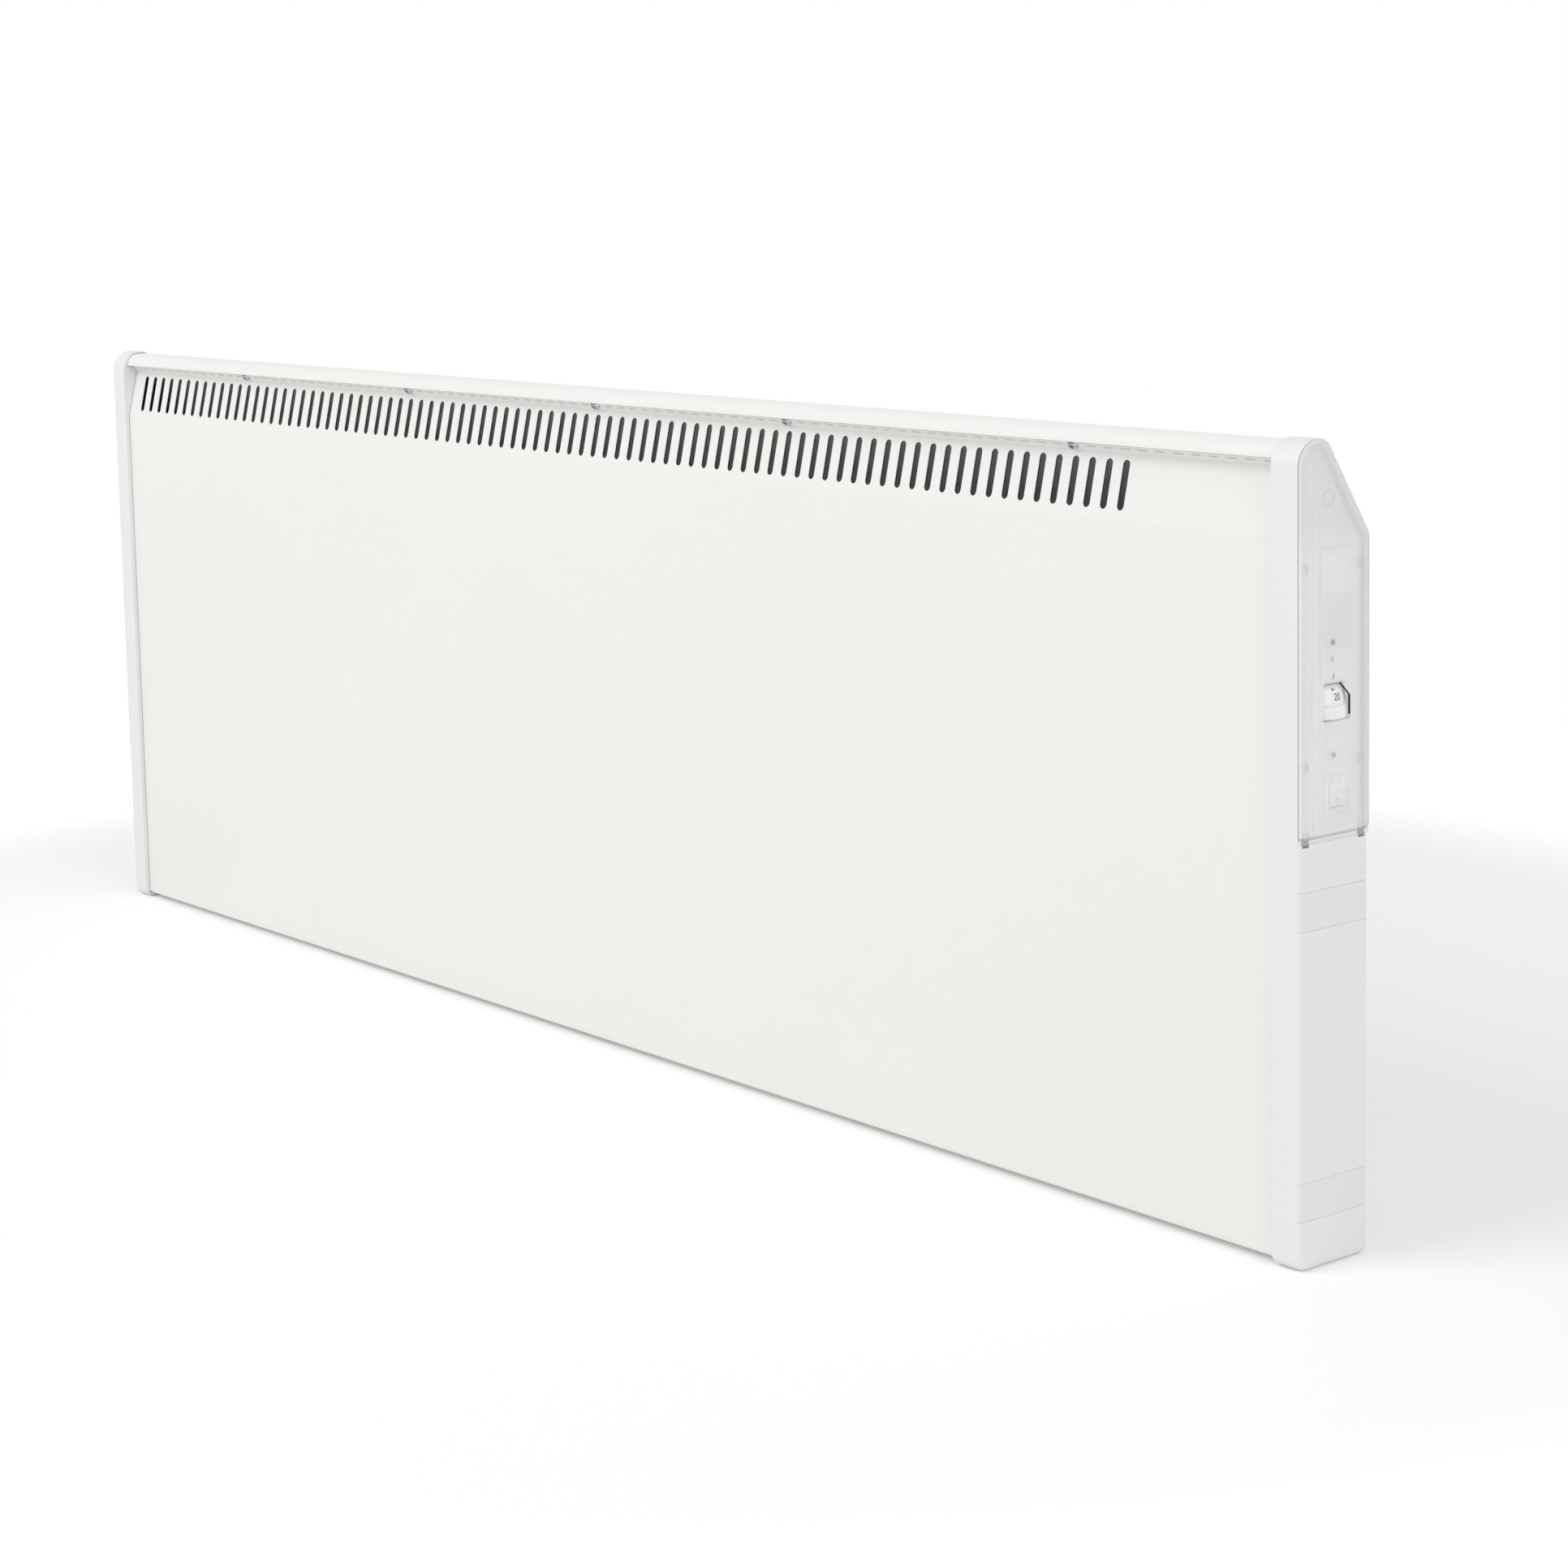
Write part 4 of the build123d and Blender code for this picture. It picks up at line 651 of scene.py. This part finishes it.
    # cut edges of the sheet
    depths = np.array([0, sheet])[:, None]
    parts.append(surface(onSheet(line, columns[None], 0.0, depths), (0, 1, 0)))
    parts.append(surface(onSheet(line, foldX[None], foldEnd, depths), (0, -1, 1)))
    endRows = np.concatenate((lowerRows, edges[edges > low]))[None]
    for x, look in ((x0, -1), (x1, 1)):
        parts.append(surface(onSheet(line, x, endRows, depths), (look, 0, 0)))
    makePiece("frontPanel", parts, ["casingPaint", "ductPaint", "pressedPaint"], "heater_body",
              "front_panel")


# top rail: rounded nose over the fold, flat top, flange down the rear slope
railShape = {"sheet": 1.2, "lipDrop": 9.7, "rimCover": 1.3, "noseRadius": 8.3, "ridgeRadius": 4.15,
             "rearReach": 9.4, "edgeRadius": 0.45, "rollSteps": 4, "bendSteps": 14, "columns": 12}


def makeTopRail(shape):
    # the folded line and its offset, joined round both edges by a small half round, carried along X
    low, high = nodeBox("top_rail")
    rim, sheet, edge = shape["rimCover"], shape["sheet"], shape["edgeRadius"]
    topZ, endY = bodyTop - rim, ridgeY + shape["rearReach"]
    line = foldedLine(((low[1], bodyTop - shape["lipDrop"]), (low[1], topZ), (slopeCorner(rim), topZ),
                       (endY, slopeHeight(endY, rim))),
                      (shape["noseRadius"], shape["ridgeRadius"]), shape["bendSteps"])
    roll = np.linspace(0, np.pi / 2, shape["rollSteps"])
    cut, lift = edge * (1 - np.sin(roll)), edge * (1 - np.cos(roll))
    inner, end = line[0][1:-1], line[0][-1]
    s = np.concatenate((cut[::-1], inner, end - cut, end - cut[::-1], inner[::-1], cut))
    d = np.concatenate((lift[::-1], 0 * inner, lift, sheet - lift[::-1], sheet + 0 * inner, sheet - lift))
    columns = np.linspace(low[0], high[0], shape["columns"])
    points, quads, _ = surface(onSheet(line, columns[:, None], s[None], d[None]), None, True)
    # the rail's inner face takes painted shade of the unlit inside
    inside = np.tile(d, len(columns))[quads].min(1) > sheet / 2
    makePiece("topRail", [(points, quads[~inside], 0), (points, quads[inside], 1)],
              ["casingPaint", "ductPaint"], "heater_body", "top_rail")


# side cover: frosted plate with a rolled border, a window, ribs, hooks and hinge ears
coverShape = {
    "nose": 13.0, "ridge": 8.0, "shoulder": 8.0, "frontFoot": 0.6, "rearFoot": 3.0, "leastRound": 0.4,
    "outlineSplits": (24, 4, 12, 18, 14), "rayStep": 4, "rayDigits": 4,
    "edgeInset": 0.1, "sheet": 1.6, "wall": 2.2, "markRelief": 0.06, "seatInset": 0.3,
    # the border, from the edge inwards: how far in, and its depth at the front and at the rear
    "inset": (0.0, 0.1, 0.35, 0.8, 1.5, 2.4, 3.2, 3.9, 4.2, 4.5, 4.8, 5.2, 5.5, 6.2, 7.0, 7.3, 7.9, 8.2, 8.6, 10.0),
    "front": (1.9, 1.45, 1.0, 0.6, 0.28, 0.08, 0.0, 0.04, 0.22, 0.44, 0.32, 0.24, 0.2, 0.12, 0.07, 0.06, 0.04, 0.26,
              0.05, 0.0),
    "rear": (1.9, 1.6, 1.36, 1.22, 1.12, 0.98, 0.86, 0.74, 0.7, 0.66, 0.62, 0.58, 0.86, 0.5, 0.4, 0.64, 0.22, 0.16,
             0.1, 0.0),
    # where the front border turns into the rear one: from Y, over a length, and the same at the foot
    "turnInset": 13, "turnLength": 12, "footTurn": 14, "footLength": 8, "footBand": 0.5,
    "windowFront": -9.06, "windowRear": 9.26, "windowLow": -0.6, "windowHigh": 0.6, "windowChamfer": 6.2,
    "windowRadii": (0.5, 0.5, 1.2, 1.6, 1.4), "windowSplits": (8, 6, 6, 6, 8), "windowPoints": 5,
    "chamferGrow": 0.4,
    # rings between the border and the window, the window's bevel as (outset, depth), rings on the back
    "faceShares": (0.35, 0.7), "bevel": ((1.0, 0.0), (0.35, 0.0), (0.12, 0.06), (0.0, 0.3)),
    "backOutsets": (1.5, 4.0),
    # the window's dark part: its start above the wheel's edges, its end on the bevel and its start on the
    # cut, both in Y from where the upper edge turns down
    "shadeRise": 0.4, "shadeReach": (0.3, -0.4),
    "ribInset": 3.1, "ribSheet": 1.2, "ribDepth": 3.3, "ribLift": 6.0,
    "hookHeights": (125.0, 33.2), "hookHalf": (0.9, 1.5, 2.5), "hookInset": 2.2,
    "frameLow": (-9.6, 213.0), "frameHigh": (18.2, 336.6), "frameSheet": 0.45, "frameDepth": 0.7,
    "frameRadius": 1.5, "frameSplits": (3, 3, 3, 3), "framePoints": 5,
    "earWidth": 4.0, "earInset": 3.0, "earRadius": 1.5, "earRise": 3.0, "earFoot": 0.35, "earBevel": 0.3,
    "earShrink": 0.88, "earPoints": 11,
}


def coverOutline(shape, inset):
    # the cap's side view drawn in by inset; the bottom edge stays where it is
    inset = inset + shape["edgeInset"]
    top, rear = bodyTop - inset, rearFace - inset
    corners = ((frontFace + inset, coverFoot), (frontFace + inset, top), (slopeCorner(inset), top),
               (rear, slopeHeight(rear, inset)), (rear, coverFoot))
    rounds = [max(shape[corner] - inset, shape["leastRound"]) for corner in ("nose", "ridge", "shoulder")]
    return roundedLine(corners, (shape["frontFoot"], *rounds, shape["rearFoot"] - inset), shape["outlineSplits"])


def windowOutline(shape, outset):
    # the opening round the wheel, its upper rear corner cut off, set out by outset
    low, high = wheelLow[2] + shape["windowLow"] - outset, wheelHigh[2] + shape["windowHigh"] + outset
    front, rear = shape["windowFront"] - outset, shape["windowRear"] + outset
    cut = shape["windowChamfer"] + outset * shape["chamferGrow"]
    corners = ((front, low), (rear, low), (rear, high - cut), (rear - cut, high), (front, high))
    radii = [radius + outset for radius in shape["windowRadii"]]
    return roundedLine(corners, radii, shape["windowSplits"], shape["windowPoints"])


def ribPath(shape, inset):
    # the outline above the foot, opened at its longest gap
    path = coverOutline(shape, inset)
    path = path[path[:, 1] > coverFoot + shape["ribLift"]]
    start = int(np.argmax(np.linalg.norm(path - np.roll(path, 1, 0), axis=1)))
    return np.roll(path, -start, 0)


def makeSideCover(shape):
    # concentric outlines read along the same rays from the window's middle, from the seat over the
    # border to the window, through the sheet and back along the hollow side
    clear, inner, hook, ear, rim, gap, rib = range(7)
    face, back, seat = coverHigh[0] - shape["markRelief"], coverHigh[0] - shape["sheet"], endFace - shape["seatInset"]
    centre = np.array([0.0, (wheelLow[2] + wheelHigh[2]) / 2])
    outer = coverOutline(shape, 0.0)
    rays = [np.arctan2(away[:, 1], away[:, 0]) for away in (outer - centre, windowOutline(shape, 0.0) - centre)]
    rays.append(np.radians(np.arange(-180, 180, shape["rayStep"])))
    angles = np.unique(np.round(np.concatenate(rays), shape["rayDigits"]))
    around = len(angles)

    def coverRing(inset):
        return aroundPoint(coverOutline(shape, inset), centre, angles)

    def windowRing(outset):
        return aroundPoint(windowOutline(shape, outset), centre, angles)

    edge = aroundPoint(outer, centre, angles)
    # how far each ray belongs to the rear border: 0 at the front and over the nose, 1 behind
    rearness = np.clip((edge[:, 0] - (frontFace + shape["turnInset"])) / shape["turnLength"], 0, 1)
    rearness = rearness * rearness * (3 - 2 * rearness)
    foot = edge[:, 1] < coverFoot + shape["footBand"]
    rearness[foot] = np.clip((edge[foot, 0] - shape["footTurn"]) / shape["footLength"], 0, 1)
    rings = [flatRing(seat, edge)]
    for inset, frontDepth, rearDepth in zip(shape["inset"], shape["front"], shape["rear"]):
        rings.append(flatRing(face - (frontDepth + (rearDepth - frontDepth) * rearness), coverRing(inset)))
    last, near = rings[-1][:, 1:], windowRing(shape["bevel"][0][0])
    rings += [flatRing(face, last * (1 - share) + near * share) for share in shape["faceShares"]]
    rings += [flatRing(face - depth, windowRing(outset)) for outset, depth in shape["bevel"]]
    points = np.array(rings).reshape(-1, 3)
    quads = turned(points, gridFaces(len(rings), around, True), (1, 0, 0))
    # the outer wall down to the seat is in painted shade of the seam; the bevel over the wheel and the cut behind it
    # are dark, in painted shadow
    shadeStart = shape["windowRear"] - shape["windowChamfer"]
    pastBevel, pastCut = shape["shadeReach"]
    corner = points[quads[:, 0]]
    bevel = np.arange(len(quads)) >= len(quads) - 2 * around
    bevel &= (corner[:, 2] > wheelHigh[2] + shape["shadeRise"]) & (corner[:, 1] < shadeStart + pastBevel)
    plain = ~bevel[around:]
    parts = [(points, quads[:around], rim), (points, quads[around:][plain], clear), (points, quads[bevel], gap)]
    cut = np.array([rings[-1]] * 3)
    cut[1, :, 0], cut[2, :, 0] = (face + back) / 2, back
    points = cut.reshape(-1, 3)
    quads = turned(points, gridFaces(3, around, True), None)[:, ::-1]
    corner = rings[-1][quads[:, 0] % around]
    shaded = (corner[:, 1] > shadeStart + pastCut) & (corner[:, 2] > wheelLow[2] + shape["shadeRise"])
    parts += [(points, quads[shaded], gap), (points, quads[~shaded], clear)]
    # hollow side
    hollow = coverRing(shape["wall"])
    hollow[:, 1] = np.maximum(hollow[:, 1], coverFoot + shape["sheet"])
    inside = [cut[2]] + [flatRing(back, windowRing(outset)) for outset in shape["backOutsets"]]
    inside += [flatRing(back, hollow), flatRing(seat, hollow), rings[0]]
    parts.append(surface(np.array(inside), (-1, 0, 0), True, inner))
    # rib that drops into the cap on three sides: a rectangle carried along the outline
    outerPath, innerPath = (ribPath(shape, shape["ribInset"] + more) for more in (0, shape["ribSheet"]))
    low = endFace - shape["ribDepth"]
    rails = [flatRing(x, path) for x, path in
             ((back, outerPath), (low, outerPath), (low, innerPath), (back, innerPath))]
    parts.append(surface(np.array(rails).transpose(1, 0, 2), None, True, inner))
    # snap hooks, rounded bars on the rib, tinted blue as a painted glint
    for height in shape["hookHeights"]:
        for side in (-1, 1):
            y = side * (rearFace - shape["ribInset"] - shape["hookInset"])
            place = (back - shape["hookHalf"][0], y, coverFoot + height)
            parts.append(roundedBar(place, shape["hookHalf"], hook))
    # low frame on the back, round the controls
    frameTop, sheet = back - shape["frameDepth"], shape["frameSheet"]
    loops = []
    for x, grow in ((back, 0.0), (frameTop, 0.0), (frameTop, -sheet), (back, -sheet)):
        corners = boxCorners(shape["frameLow"], shape["frameHigh"], grow)
        radii = (shape["frameRadius"] + grow,) * 4
        loops.append(flatRing(x, roundedLine(corners, radii, shape["frameSplits"], shape["framePoints"])))
    parts.append(surface(np.array(loops).transpose(1, 0, 2), None, False, rib))
    # hinge ears: a knuckle round the pin, drawn up to the cover's back, greyed by painted shade
    pinLow, pinHigh = nodeBox("cover_hinge_pins")
    hingeX, hingeZ = (pinLow[0] + pinHigh[0]) / 2, (pinLow[2] + pinHigh[2]) / 2
    radius, width, earBevel, shrink = (shape[key] for key in ("earRadius", "earWidth", "earBevel", "earShrink"))
    turns = np.linspace(np.pi, 2 * np.pi, shape["earPoints"])
    top, low = coverFoot + shape["earRise"], coverFoot + shape["earFoot"]
    knuckle = np.stack((hingeX + radius * np.cos(turns), hingeZ + radius * np.sin(turns)), -1)
    knuckle = np.concatenate(([[hingeX - radius, top]], knuckle, [[hingeX + radius, low], [back, low], [back, top]]))
    middle = knuckle.mean(0)
    for start in (frontFace + shape["earInset"], rearFace - shape["earInset"] - width):
        slices = []
        for y, share in zip((0, 0, earBevel, width - earBevel, width, width), (0, shrink, 1, 1, shrink, 0)):
            x, z = (middle + (knuckle - middle) * share).T
            slices.append(np.stack((x, np.full(len(x), start + y), z), -1))
        parts.append(surface(np.array(slices), None, True, ear))
    finishNames = ["frostedCover", "frostedInside", "hookPlastic", "earPlastic", "frostEdge", "gapShadow", "frostRib"]
    return makePiece("sideCover", parts, finishNames, "side_cover", "side_cover", sharp=40.0)


# thermostat wheel: grooved grip under a tapering printed dial
wheelShape = {
    "radius": 12.0, "gripHeight": 6.4, "dialHeight": 9.6, "dialStep": 0.5, "dialTaper": 1.6,
    "grooves": 64, "grooveSteps": 8, "grooveDepth": 0.35, "waveGain": 1.8, "waveDrop": 0.8, "bore": 1.52, "hub": 4.0,
    "insetFromEnd": 8.4, "forward": 0.3,
    # the grip's lower and upper edge as (in, up, share of the groove), then the crown as (in, up)
    "gripFoot": ((0.9, 0, 0), (0.5, 0.1, 0.3), (0, 0.55, 1)),
    "gripTop": ((0, -0.5, 1), (0.25, -0.12, 0.4), (0.6, 0, 0)),
    "fillet": 0.25, "ledge": 0.02, "crownDrop": 2.4, "crown": ((0.25, -1.4), (0.9, -0.6), (1.8, -0.15), (2.8, 0)),
    "numbers": ("5", "10", "15", "20", "25", "30"), "restNumber": "20", "numberStep": 54.0, "restAngle": -1.8,
    "numberSize": 4.8, "numberSteps": 4, "numberSqueeze": 0.80, "numberLift": 2.6, "printProud": 0.12,
    "arrowTurn": -10.0, "arrowLift": 7.2, "arrowSize": 1.4, "arrow": ((-0.5, 0), (0.55, 0), (-0.4, 1)),
}


def wheelPlace():
    return endFace - wheelShape["insetFromEnd"], -wheelShape["forward"], wheelLow[2]


def dialRadius(shape, lift):
    # the dial's radius at a height above its foot
    return shape["radius"] - shape["dialStep"] - shape["dialTaper"] * lift / shape["dialHeight"]


def makeWheel(shape):
    # a profile turned round the upright axis, its grip cut by a rounded wave of grooves
    x, y, z = wheelPlace()
    radius, bore, hub, grip = (shape[key] for key in ("radius", "bore", "hub", "gripHeight"))
    height = grip + shape["dialHeight"]
    foot, top = dialRadius(shape, 0), dialRadius(shape, shape["dialHeight"])
    rows = [(bore, 0, 0), (hub, 0, 0)]
    rows += [(radius - inset, up, share) for inset, up, share in shape["gripFoot"]]
    rows += [(radius, grip / 2, 1)]
    rows += [(radius - inset, grip + up, share) for inset, up, share in shape["gripTop"]]
    rows += [(foot + shape["fillet"], grip + shape["ledge"], 0), (foot, grip + shape["fillet"], 0)]
    rows += [(dialRadius(shape, lift), grip + lift, 0)
             for lift in (shape["dialHeight"] / 2, shape["dialHeight"] - shape["crownDrop"])]
    rows += [(top - inset, height + up, 0) for inset, up in shape["crown"]]
    rows += [(hub, height, 0), (bore, height, 0), (bore, grip, 0), (bore, 0, 0)]
    profile = np.array(rows)
    turns = np.linspace(0, 2 * np.pi, shape["grooves"] * shape["grooveSteps"], endpoint=False)
    wave = np.clip(np.cos(turns * shape["grooves"]) * shape["waveGain"] - shape["waveDrop"], 0, 1)
    reach = profile[:, 0][:, None] - shape["grooveDepth"] * profile[:, 2][:, None] * wave[None]
    grid = np.stack((x + reach * np.cos(turns), y + reach * np.sin(turns),
                     np.broadcast_to(z + profile[:, 1][:, None], reach.shape)), -1)
    makePiece("thermostatDial", [surface(grid, None, True)], ["dialPlastic"], "thermostat_wheel",
              "thermostat_wheel", sharp=38.0)


def printedMesh(name, flatPoints, faces, lift, turnDegrees, shape):
    # flat print points (u, v) wrapped on the cone: u along its circumference, v up its side
    x, y, z = wheelPlace()
    height = lift + flatPoints[:, 1]
    radius = dialRadius(shape, height) + shape["printProud"]
    angle = math.radians(turnDegrees) + flatPoints[:, 0] / radius
    points = np.stack((x + radius * np.cos(angle), y + radius * np.sin(angle),
                       z + shape["gripHeight"] + height), -1)
    mesh = bpy.data.meshes.new(name)
    mesh.from_pydata((points * 0.001).tolist(), [], faces)
    mesh.materials.append(finishes["printInk"])
    piece = addObject(name, mesh)
    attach(piece, "thermostat_wheel")


def makeNumbers(shape):
    # the scale: each number, a mesh of the built-in font, and its pointer
    rest = shape["numbers"].index(shape["restNumber"])
    for k, number in enumerate(shape["numbers"]):
        turn = shape["restAngle"] + (k - rest) * shape["numberStep"]
        curve = bpy.data.curves.new("number" + number, "FONT")
        curve.body = number
        curve.size = shape["numberSize"]
        curve.align_x = "CENTER"
        curve.resolution_u = shape["numberSteps"]
        text = bpy.data.objects.new("number" + number, curve)
        mesh = bpy.data.meshes.new_from_object(text)
        flat = vertexTable(mesh)[:, :2] * (shape["numberSqueeze"], 1)
        faces = [tuple(face.vertices) for face in mesh.polygons]
        bpy.data.objects.remove(text)
        bpy.data.meshes.remove(mesh)
        bpy.data.curves.remove(curve)
        printedMesh("dialNumber" + number, flat, faces, shape["numberLift"], turn, shape)
        printedMesh("dialPointer" + number, np.array(shape["arrow"]) * shape["arrowSize"], [(0, 1, 2)],
                    shape["arrowLift"], turn + shape["arrowTurn"], shape)


# index mark on the cover, plain plate on the control module
markShape = {"indexFoot": (-2.85, 277.6), "indexTop": (-2.05, 280.9), "indexWidth": 0.42, "indexSunk": 0.3,
             "indexRise": 0.28, "indexTaper": 0.8, "indexPoints": 9, "indexTip": 0.02,
             "labelLow": (-3.4, 290.6), "labelHigh": (15.4, 316.6), "labelRadius": 1.6,
             "labelSplits": (4, 4, 4, 4), "labelPoints": 6,
             # the plate's rings, from its foot: share of the outline, height over the module
             "labelRings": ((1.0, 0.02), (1.0, 0.2), (0.985, 0.3), (0.0, 0.3))}


def makeIndexMark(shape):
    # a slim raised bar on the cover's face, above the window: at a share t of its length its width goes
    # with the root of 1 - (2t - 1)^4
    (y0, z0), (y1, z1) = shape["indexFoot"], shape["indexTop"]
    t = np.linspace(0, 1, shape["indexPoints"])
    width = shape["indexWidth"] / 2 * np.sqrt(np.clip(1 - (2 * t - 1) ** 4, shape["indexTip"], 1))
    taper, rise = shape["indexTaper"], shape["indexRise"]
    rows = []
    for side, lift in ((-1, 0), (-taper, rise), (taper, rise), (1, 0)):
        line = np.stack((y0 + (y1 - y0) * t + side * width, z0 + (z1 - z0) * t), -1)
        rows.append(flatRing(coverHigh[0] - shape["indexSunk"] + lift, line))
    makePiece("coverIndex", [surface(np.array(rows), (1, 0, 0))], ["printInk"], "side_cover", None)


def makeLabelPlate(shape):
    # a rounded outline lifted off the module's face, drawn in a little and closed to its middle
    corners = boxCorners(shape["labelLow"], shape["labelHigh"])
    outline = roundedLine(corners, (shape["labelRadius"],) * 4, shape["labelSplits"], shape["labelPoints"])
    middle = outline.mean(0)
    rings = [flatRing(housingFace + height, middle + (outline - middle) * share)
             for share, height in shape["labelRings"]]
    makePiece("modulePlate", [surface(np.array(rings), (1, 0, 0), True)], ["labelPlastic"], "heater_body",
              None)


# marks on the rocker, in its own plane: its pivot behind the module's face, its two sloping halves
rockerShape = {"tilt": 8.0, "pivotInset": 1.2, "faceRise": 2.9, "crownRise": 1.0, "length": 15.4, "proud": 0.03,
               "ringRadius": 1.55, "strokeWidth": 0.4, "ringSqueeze": 0.85, "ringPlace": -4.6, "ringPoints": 32,
               "barPlace": 4.4, "barHalf": 1.5, "barWidth": 0.48, "barPoints": 4}


def makeRockerMarks(shape):
    # O on the lower half and I on the upper half, lying just proud of the two sloping faces
    tilt = math.radians(shape["tilt"])
    middle = sum(nodeBox("switch_rocker")) / 2
    pivot = np.array([housingFace - shape["pivotInset"], middle[1], middle[2]])
    outward = np.array([math.cos(tilt), 0, -math.sin(tilt)])
    upward = np.array([math.sin(tilt), 0, math.cos(tilt)])
    across = np.array([0, 1.0, 0])

    def onFace(u, v):
        rise = shape["faceRise"] + 2 * shape["crownRise"] * np.abs(v) / shape["length"] + shape["proud"]
        return pivot + u[..., None] * across + v[..., None] * upward + rise[..., None] * outward

    turns = np.linspace(0, 2 * np.pi, shape["ringPoints"], endpoint=False)
    ring = [onFace(radius * np.cos(turns) * shape["ringSqueeze"], shape["ringPlace"] + radius * np.sin(turns))
            for radius in (shape["ringRadius"] - shape["strokeWidth"], shape["ringRadius"])]
    bar = onFace(*np.meshgrid(np.array([-0.5, 0.5]) * shape["barWidth"],
                              shape["barPlace"] + np.linspace(-1, 1, shape["barPoints"]) * shape["barHalf"]))
    for name, part in (("rockerMarkO", surface(np.array(ring), outward, True)), ("rockerMarkI", surface(bar, outward))):
        makePiece(name, [part], ["printInk"], "switch_rocker", None)


makeFrontPanel(panelShape)
print("front panel folded")
makeTopRail(railShape)
# frosted plastic lets light through to the module, so it casts no shadow of its own
makeSideCover(coverShape).visible_shadow = False
print("rail and side cover made")
makeWheel(wheelShape)
makeNumbers(wheelShape)
makeIndexMark(markShape)
makeLabelPlate(markShape)
makeRockerMarks(rockerShape)
print("dial, marks and module plate made")

# finishes of the CAD nodes that stay
nodeFinish = {
    "casingPaint": ["back_panel"],
    # inner plates in painted shade of the unlit inside
    "ductPaint": ["rail_stiffener", "left_end_plate", "divider_plate", "air_baffle"],
    "capPlastic": ["left_end_cap", "right_end_cap"],
    "bandPlastic": ["upper_band_cover", "lower_band_cover"],
    "controlPlastic": ["switch_body", "terminal_block"],
    "housingPlastic": ["control_housing"],
    "dialPlastic": ["switch_rocker"],
    "lampLens": ["light_pipes"],
    "boardLacquer": ["control_board"],
    "darkPlastic": ["potentiometer", "dial_spindle", "thermal_cutout", "temperature_sensor", "cable_gland"],
    "elementAluminium": ["heating_element"],
    "siliconeRubber": ["element_bushes"],
    "zincPlate": ["bottom_grille", "right_end_plate", "heater_rod", "element_brackets"],
    "screwZinc": ["cover_hinge_pins", "panel_screws", "cap_screws", "module_screws", "rail_rivets"],
}
for finish, names in nodeFinish.items():
    for name in names:
        materials = nodes[name].data.materials
        materials.clear()
        materials.append(finishes[finish])
print("materials assigned")

# floor, world and lamps
stageSetup = {"size": 30.0, "drop": 0.0004, "nearShare": 0.12, "nearGlow": 0.75, "fadeFrom": 0.7, "fadeTo": 1.25,
              "matte": (0.96, 0.96, 0.96, 1), "skyLight": 0.60}
lamps = {
    "keyLamp": {"place": (-0.7, -2.7, 2.6), "aim": (0, 0, 0.2), "size": 2.2, "power": 45.5},
    "endLamp": {"place": (3.2, -0.6, 1.6), "aim": (0.5, 0, 0.2), "size": 1.6, "power": 21.0},
}


def seenDirectly(tree):
    # 1 for what the camera, a mirror or glass sees, 0 for light that bounces
    camera, mirror, glass = (node(tree, "ShaderNodeLightPath", out=ray)
                             for ray in ("Is Camera Ray", "Is Glossy Ray", "Is Transmission Ray"))
    return camera.maths("MAXIMUM", mirror).maths("MAXIMUM", glass)


def makeFloor(setup):
    # white where it is seen from far off; near the heater mostly matte, so that shadows show
    size = setup["size"]
    mesh = bpy.data.meshes.new("studioFloor")
    corners = [(-size, -size), (size, -size), (size, size), (-size, size)]
    mesh.from_pydata([(x, y, -setup["drop"]) for x, y in corners], [], [(0, 1, 2, 3)])
    material, tree = newMaterial("studioFloor")
    away = node(tree, "ShaderNodeVectorMath", {"operation": "LENGTH"}, {0: objectPlace(tree)}, out=1)
    near = ramp(away, setup["fadeTo"], setup["fadeFrom"])
    matte = node(tree, "ShaderNodeBsdfDiffuse", {}, {"Color": setup["matte"]})
    white = node(tree, "ShaderNodeEmission", {}, {"Color": (1, 1, 1, 1), "Strength": near * setup["nearGlow"] + 1})
    share = seenDirectly(tree) * (1 - near * (1 - setup["nearShare"]))
    finishSurface(tree, node(tree, "ShaderNodeMixShader", {}, {0: share, 1: matte, 2: white}))
    mesh.materials.append(material)
    addObject("studioFloor", mesh)


def makeWorld(setup):
    world = bpy.data.worlds.new("studioWorld")
    bpy.context.scene.world = world
    world.use_nodes = True
    tree = world.node_tree
    tree.nodes.clear()
    strength = seenDirectly(tree) * (1 - setup["skyLight"]) + setup["skyLight"]
    sky = node(tree, "ShaderNodeBackground", {}, {"Color": (1, 1, 1, 1), "Strength": strength})
    node(tree, "ShaderNodeOutputWorld", {}, {"Surface": sky})


def makeLamp(name, setup):
    data = bpy.data.lights.new(name, "AREA")
    data.energy = setup["power"]
    data.size = setup["size"]
    lamp = addObject(name, data)
    lamp.location = setup["place"]
    aim = Vector(setup["aim"]) - Vector(setup["place"])
    lamp.rotation_euler = aim.to_track_quat("-Z", "Y").to_euler()


makeFloor(stageSetup)
makeWorld(stageSetup)
for name, setup in lamps.items():
    makeLamp(name, setup)
bpy.context.scene.view_settings.view_transform = "Standard"
print("stage ready")
